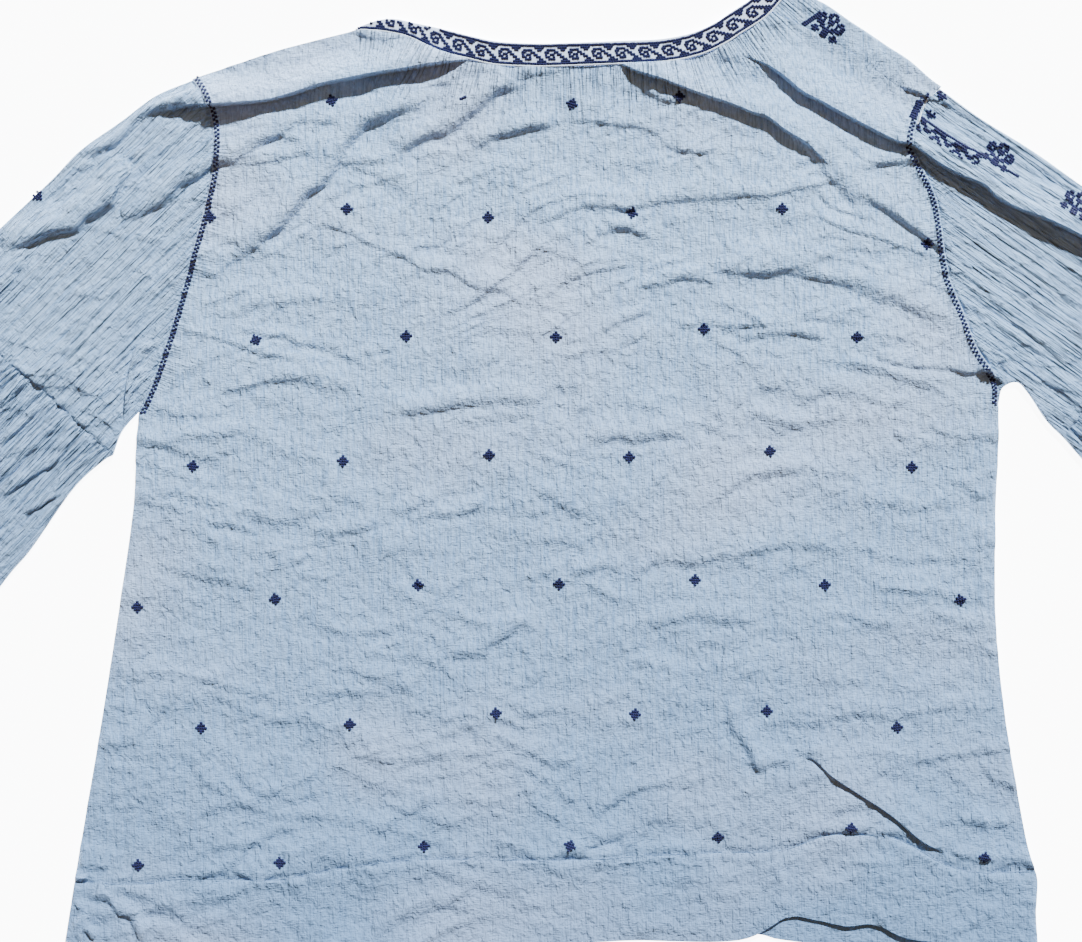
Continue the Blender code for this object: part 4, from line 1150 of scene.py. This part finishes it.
def crinkled_gauze(name, turn, line_length, line_depth, crease_depth, deep_at_top, blush):
    """Washed crinkle gauze of thin cotton: matt, with a dry bloom at grazing angles.

    The warp shrinks into lines 1.2 mm wide that run along the piece, over rumples of 5 to 7 mm,
    with sharper creases 6 mm apart; the lines are darker in their valleys, partly painted shade. The
    seams gather it into folds 2.8 mm apart, whose valleys are darkened with painted shade.
    The threads are 0.4 mm apart, too fine to show, so they are drawn 1 mm apart. The blue is darker
    and deeper towards the hem and paler towards the shoulders, with paler, warmer patches higher up.
    """
    material, tree, shader = new_material(name, {
        "Roughness": 0.92, "Sheen Weight": 0.1, "Sheen Roughness": 0.6, "Specular IOR Level": 0.25})
    place = add_node(tree, "ShaderNodeTexCoord").outputs["Object"]
    along_seam = add_node(tree, "ShaderNodeAttribute", {"attribute_name": "gathers"}).outputs["Vector"]
    up = add_node(tree, "ShaderNodeSeparateXYZ", None, None, {"Vector": place}).outputs["Y"]
    pull = add_node(tree, "ShaderNodeSeparateXYZ", None, None, {"Vector": along_seam}).outputs["Z"]
    layers = {}
    for layer, source, unit, size, detail, kind, distortion, seed in (
        ("lines", place, MM, (1.2, line_length, 1.2), 1, "FBM", 0.3, 0),
        ("creases", place, MM, (6, 85, 6), 3, "RIDGED_MULTIFRACTAL", 0.2, 2),
        ("rumple", place, MM, (5, 7, 5), 5, "FBM", 0.4, 3),
        ("threads", place, MM, (4, 1, 1), 1, "FBM", 0.0, 7),
        ("blush", place, MM, (160, 130, 130), 1, "FBM", 0.0, 9),
        ("gather", along_seam, 1, (2.8, 110, 8), 2, "RIDGED_MULTIFRACTAL", 0.2, 0),
    ):
        mapping = add_node(tree, "ShaderNodeMapping", {"vector_type": "TEXTURE"},
                           {"Location": (seed, 0.3 * seed, 0),
                            "Rotation": (0, 0, 0 if layer == "gather" else turn),
                            "Scale": [unit * part for part in size]}, {"Vector": source})
        values = {"Scale": 1, "Detail": detail, "Roughness": 0.5, "Distortion": distortion}
        if kind == "RIDGED_MULTIFRACTAL":
            values["Offset"] = 1
        noise = add_node(tree, "ShaderNodeTexNoise", {"noise_type": kind}, values,
                         {"Vector": mapping.outputs[0]})
        layers[layer] = noise.outputs[0]

    # Where each tint lies: its source, the range of it that counts, and the share at both ends
    shares = {}
    for tint, source, low, high, least, most in (
        ("deep", up, SHIFT[1] * MM, (PALEST_ABOVE + SHIFT[1]) * MM, 0.9, deep_at_top),
        ("blush", layers["blush"], 0.48, 0.68, 0.0, blush),
        ("upper", up, (BLUSH_ABOVE + SHIFT[1]) * MM, (PALEST_ABOVE + SHIFT[1]) * MM, 0.6, 1.0),
        # painted shade in the gathers' valleys, where the gathers are strong
        ("valley_shade", layers["gather"], 1.12, 1.45, 0.0, 0.6),
    ):
        share = add_node(tree, "ShaderNodeMapRange", None,
                         {"From Min": low, "From Max": high, "To Min": least, "To Max": most},
                         {"Value": source})
        shares[tint] = share.outputs[0]
    for tint, limit in (("blush", shares["upper"]), ("valley_shade", pull)):
        product = add_node(tree, "ShaderNodeMath", {"operation": "MULTIPLY"}, None,
                           {0: shares[tint], 1: limit})
        shares[tint] = product.outputs[0]
    # The lines' colour, dark in their valleys: partly the gauze's thread density, partly painted shade
    ramp = add_node(tree, "ShaderNodeValToRGB", None, None, {"Fac": layers["lines"]})
    for element, position, code in zip(ramp.color_ramp.elements, (0.30, 0.62), (GAUZE_DARK, GAUZE_LIGHT)):
        element.position = position
        element.color = linear_colour(code)
    colour = ramp.outputs[0]
    # Mix in the deeper blue low down, the warmer patches and the painted shade of the gathers' valleys
    for tint, code in (("deep", GAUZE_DEEP), ("blush", GAUZE_BLUSH), ("valley_shade", GAUZE_VALLEY_SHADE)):
        mixed = add_node(tree, "ShaderNodeMix", {"data_type": "RGBA"}, {7: linear_colour(code)},
                         {"Factor": shares[tint], 6: colour})
        colour = mixed.outputs[2]
    tree.links.new(colour, shader.inputs["Base Color"])

    normal = None
    for layer, depth in (
        ("rumple", 3), ("creases", crease_depth), ("gather", 1), ("lines", line_depth), ("threads", 0.5),
    ):
        links = {"Height": layers[layer]}
        if normal is not None:
            links["Normal"] = normal
        if layer == "gather":
            links["Strength"] = pull
        bump = add_node(tree, "ShaderNodeBump", {"invert": layer in ("creases", "gather")},
                        {"Strength": 1, "Distance": depth * MM}, links)
        normal = bump.outputs[0]
    tree.links.new(normal, shader.inputs["Normal"])
    return material


def plain_cotton(name, light, dark, grain, depth, roughness):
    """Plain cotton, woven or spun: matt, with a fine even grain of light and dark threads."""
    material, tree, shader = new_material(name, {
        "Roughness": roughness, "Sheen Weight": 0.15, "Specular IOR Level": 0.3})
    place = add_node(tree, "ShaderNodeTexCoord").outputs["Object"]
    noise = add_node(tree, "ShaderNodeTexNoise", None,
                     {"Scale": 1 / (grain * MM), "Detail": 2, "Roughness": 0.6}, {"Vector": place})
    ramp = add_node(tree, "ShaderNodeValToRGB", None, None, {"Fac": noise.outputs[0]})
    for element, position, code in zip(ramp.color_ramp.elements, (0.38, 0.6), (dark, light)):
        element.position = position
        element.color = linear_colour(code)
    bump = add_node(tree, "ShaderNodeBump", None, {"Strength": 1, "Distance": depth * MM},
                    {"Height": noise.outputs[0]})
    tree.links.new(ramp.outputs[0], shader.inputs["Base Color"])
    tree.links.new(bump.outputs[0], shader.inputs["Normal"])
    return material


# Pieces

# Length and depth of the lines and depth of the creases in millimetres, then the share of deeper blue
# kept at the shoulders and of the warmer tint
gauze_body = crinkled_gauze("crinkle_gauze_back", 0, 20, 0.7, 0.3, 0, 0.4)
gauze_left = crinkled_gauze("crinkle_gauze_left_sleeve", LEFT_ARM.turn + math.pi / 2,
                            45, 1.6, 1.4, 0.1, 0)
gauze_right = crinkled_gauze("crinkle_gauze_right_sleeve", RIGHT_ARM.turn + math.pi / 2,
                             45, 1.6, 1.8, 0.15, 0)
# Size and depth of the grain in millimetres, then the roughness
band_cotton = plain_cotton("band_cotton", BAND_GROUND, BAND_SHADE, 1.2, 0.2, 0.85)
floss = plain_cotton("navy_stranded_cotton", FLOSS_LIGHT, FLOSS_DARK, 0.9, 0.15, 0.7)
piping_cotton = plain_cotton("white_piping_cotton", PIPING_WHITE, BAND_GROUND, 1, 0.1, 0.8)
# The sewing thread's darker blue is painted shade
sewing_thread = plain_cotton("blue_sewing_thread_painted_shade", THREAD_LIGHT, THREAD_DARK, 2, 0.1, 0.8)

back = back_cloth(gauze_body)
front = front_cloth(gauze_body)
seam_line = smooth_line(BAND_SEAM)
band_back = band("neck_band_back_cloth", seam_line, smooth_line(BAND_OPENING), 240,
                 1.9, FLAT_HEIGHT + 0.4, band_cotton)
band_front = band("neck_band_front_cloth", front_neckline(SEAM_GAP), front_neckline(FRONT_BAND_WIDTH),
                  120, 0.0, 1.2, band_cotton)
thread("neck_piping", seam_line, 0.6, FLAT_HEIGHT + 0.35, 0.3, piping_cotton)
seam_top = smooth_line(((242.6, 563.5), (246.2, 573), (250.6, 582.6)))
seam_lift = sleeve_height(*seam_top(THREAD_SHARES).T, RIGHT_ARM)
thread("shoulder_piping", seam_top, 0.5, seam_lift + 0.5, 0.0, piping_cotton)
hem_lift = body_height(*smooth_line(HEM_LINE)(THREAD_SHARES).T)
thread("hem_stitching", smooth_line(HEM_LINE), 0.45, hem_lift, 0.0, sewing_thread)

tubes = {}
for side, arm, armhole, material in (
    ("left", LEFT_ARM, smooth_line(LEFT_ARMHOLE), gauze_left),
    ("right", RIGHT_ARM, rolled_armhole(), gauze_right),
):
    elbow = smooth_line(arm.elbow)
    tubes["sleeve_" + side] = tube(
        "sleeve_%s_cloth" % side, beside(armhole, arm.outward * SEAM_GAP),
        beside(elbow, -arm.outward * SEAM_GAP / 2), smooth_line(arm.underarm), smooth_line(arm.top),
        SLEEVE_GRID, lambda plan, share, up: sleeve_height(plan[..., 0], plan[..., 1], arm),
        arm.gathers, material)
    tubes["flounce_" + side] = tube(
        "flounce_%s_cloth" % side, beside(elbow, arm.outward * SEAM_GAP / 2), smooth_line(arm.hem),
        smooth_line(arm.under), smooth_line(arm.over), FLOUNCE_GRID,
        lambda plan, share, up: flounce_height(plan, share, up, arm),
        ((arm.elbow, *FLOUNCE_GATHERS),), material)

# The embroidery sits on the cloth of each piece
chance = np.random.default_rng(3)
diamond_cells = []
for centre in DIAMONDS:
    diamond_cells += chart_cells(DIAMOND_CHART, centre, chance.normal(0, 0.12))
diamond_cells += chart_cells(DASH_CHART, HIDDEN_DIAMOND, 0.35)
cross_stitches("diamonds", diamond_cells, body_height, floss, 21)

checker = []
for offset, start in ((2.0, 0.0), (3.9, 1.45)):
    checker += line_cells(LEFT_ARMHOLE, -offset, 2.9, start, size=1.7)
    checker += line_cells(RIGHT_ARMHOLE, offset, 2.9, start, 232, size=1.7)
cross_stitches("armhole_checker", checker, body_height, floss, 22)

bars = []
for column in range(3):
    bars += line_cells(((242.2, 566.5), (248.4, 579.6)), 2.0 + 1.5 * column, 1.8, 0.6, size=1.6)
cross_stitches("shoulder_bars", bars, body_height, floss, 23)

cross_stitches("neck_scroll", band_cells(), lambda x, y: np.full(x.shape, FLAT_HEIGHT + 0.42), floss, 24)

border = line_cells(SLEEVE_BORDER, 0.0, 1.5, size=1.6)
border += chart_along(WAVE_CHART, SLEEVE_BORDER[:7], -8.6, 3)
border += chart_cells(SPRIG_CHART, (299.5, 543), RIGHT_ARM.turn)
border += chart_cells(SPRIG_CHART, (353.0, 509), RIGHT_ARM.turn)
border += chart_cells(BUD_CHART, (252.0, 570.5), RIGHT_ARM.turn)
border += chart_cells(BUD_CHART, (259.5, 583.5), RIGHT_ARM.turn)
cross_stitches("right_sleeve_border", border, lambda x, y: sleeve_height(x, y, RIGHT_ARM), floss, 25)

corner = []
for offset in (0.0, 1.5):
    corner += line_cells(((165.3, 632.7), (171, 636.5), (177.3, 641)), offset, 1.5, size=1.6)
corner += chart_cells(SPRIG_CHART, (182.5, 632.5), RIGHT_ARM.turn)
cross_stitches("shoulder_corner_sprig", corner, strip_height, floss, 26)

edge_sprig = chart_cells(BUD_CHART, (-363.5, 514.5), LEFT_ARM.turn)
cross_stitches("left_sleeve_edge_bud", edge_sprig, lambda x, y: sleeve_height(x, y, LEFT_ARM), floss, 27)

# Each piece, the part that it stands for, the size that its cloth was cut to, its area and what it
# rests on; only the part is used, to hide it
for piece, node, flat, area, rests in (
    (back, "back_panel", (0.70, 0.67), 0.375, "front_cloth"),
    (front, "front_panel", (0.70, 0.67), 0.345, "floor"),
    (band_back, "neck_band_back", (0.33, 0.017), 0.0053, "front_cloth"),
    (band_front, "neck_band_front", (0.43, 0.017), 0.0071, "floor"),
    (tubes["sleeve_left"], "sleeve_left", (0.44, 0.24), 0.066, "floor"),
    (tubes["sleeve_right"], "sleeve_right", (0.44, 0.24), 0.062, "floor"),
    (tubes["flounce_left"], "flounce_left", (0.60, 0.24), 0.125, "floor"),
    (tubes["flounce_right"], "flounce_right", (0.60, 0.24), 0.12, "floor"),
):
    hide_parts(node)

# Floor, light and camera; the floor is white paper lit from below, a little under the cloth
FLOOR_REACH = 14
FLOOR_LEVEL = -0.4 * MM
FLOOR_GLOW = 10
floor_data = bpy.data.meshes.new("floor")
floor_corners = ((-FLOOR_REACH, -FLOOR_REACH, FLOOR_LEVEL), (FLOOR_REACH, -FLOOR_REACH, FLOOR_LEVEL),
                 (FLOOR_REACH, FLOOR_REACH, FLOOR_LEVEL), (-FLOOR_REACH, FLOOR_REACH, FLOOR_LEVEL))
floor_data.from_pydata(floor_corners, [], [(0, 1, 2, 3)])
floor = bpy.data.objects.new("floor", floor_data)
bpy.context.scene.collection.objects.link(floor)
pale_paper = new_material("pale_paper", {
    "Base Color": linear_colour(FLOOR_PALE), "Roughness": 0.95,
    "Emission Color": linear_colour(FLOOR_PALE), "Emission Strength": FLOOR_GLOW})[0]
floor_data.materials.append(pale_paper)

# The room's light is warm and weak, the key light cool, strong, low and nearly sharp
ROOM_COLOUR = (1.0, 0.70, 0.48, 1.0)
ROOM_STRENGTH = 0.27
KEY_COLOUR = (0.80, 0.92, 1.0)
KEY_STRENGTH = 11.4
KEY_SOFTNESS = math.radians(3.5)
KEY_HEIGHT = math.radians(36)
KEY_TURN = math.radians(-20)
world = bpy.data.worlds.new("studio")
world.use_nodes = True
world.node_tree.nodes["Background"].inputs["Color"].default_value = ROOM_COLOUR
world.node_tree.nodes["Background"].inputs["Strength"].default_value = ROOM_STRENGTH
bpy.context.scene.world = world

key_data = bpy.data.lights.new("key", "SUN")
key_data.energy = KEY_STRENGTH
key_data.angle = KEY_SOFTNESS
key_data.color = KEY_COLOUR
key = bpy.data.objects.new("key", key_data)
key.rotation_euler = (-(math.pi / 2 - KEY_HEIGHT), 0.0, KEY_TURN)
bpy.context.scene.collection.objects.link(key)

# What the photo takes in, and a long lens that looks straight down on it
VIEW_WIDTH = 746.6
VIEW_MIDDLE = np.array((-16.6, 325.0, FLAT_HEIGHT))
SENSOR_WIDTH = 36
LENS_LENGTH = 75
camera_data = bpy.data.cameras.new("camera")
camera_data.sensor_fit = "HORIZONTAL"
camera_data.sensor_width = SENSOR_WIDTH
camera_data.lens = LENS_LENGTH
camera = bpy.data.objects.new("camera", camera_data)
away = VIEW_WIDTH * LENS_LENGTH / SENSOR_WIDTH
camera.location = to_world(VIEW_MIDDLE + np.array((0.0, 0.0, away)))
bpy.context.scene.collection.objects.link(camera)
bpy.context.scene.camera = camera
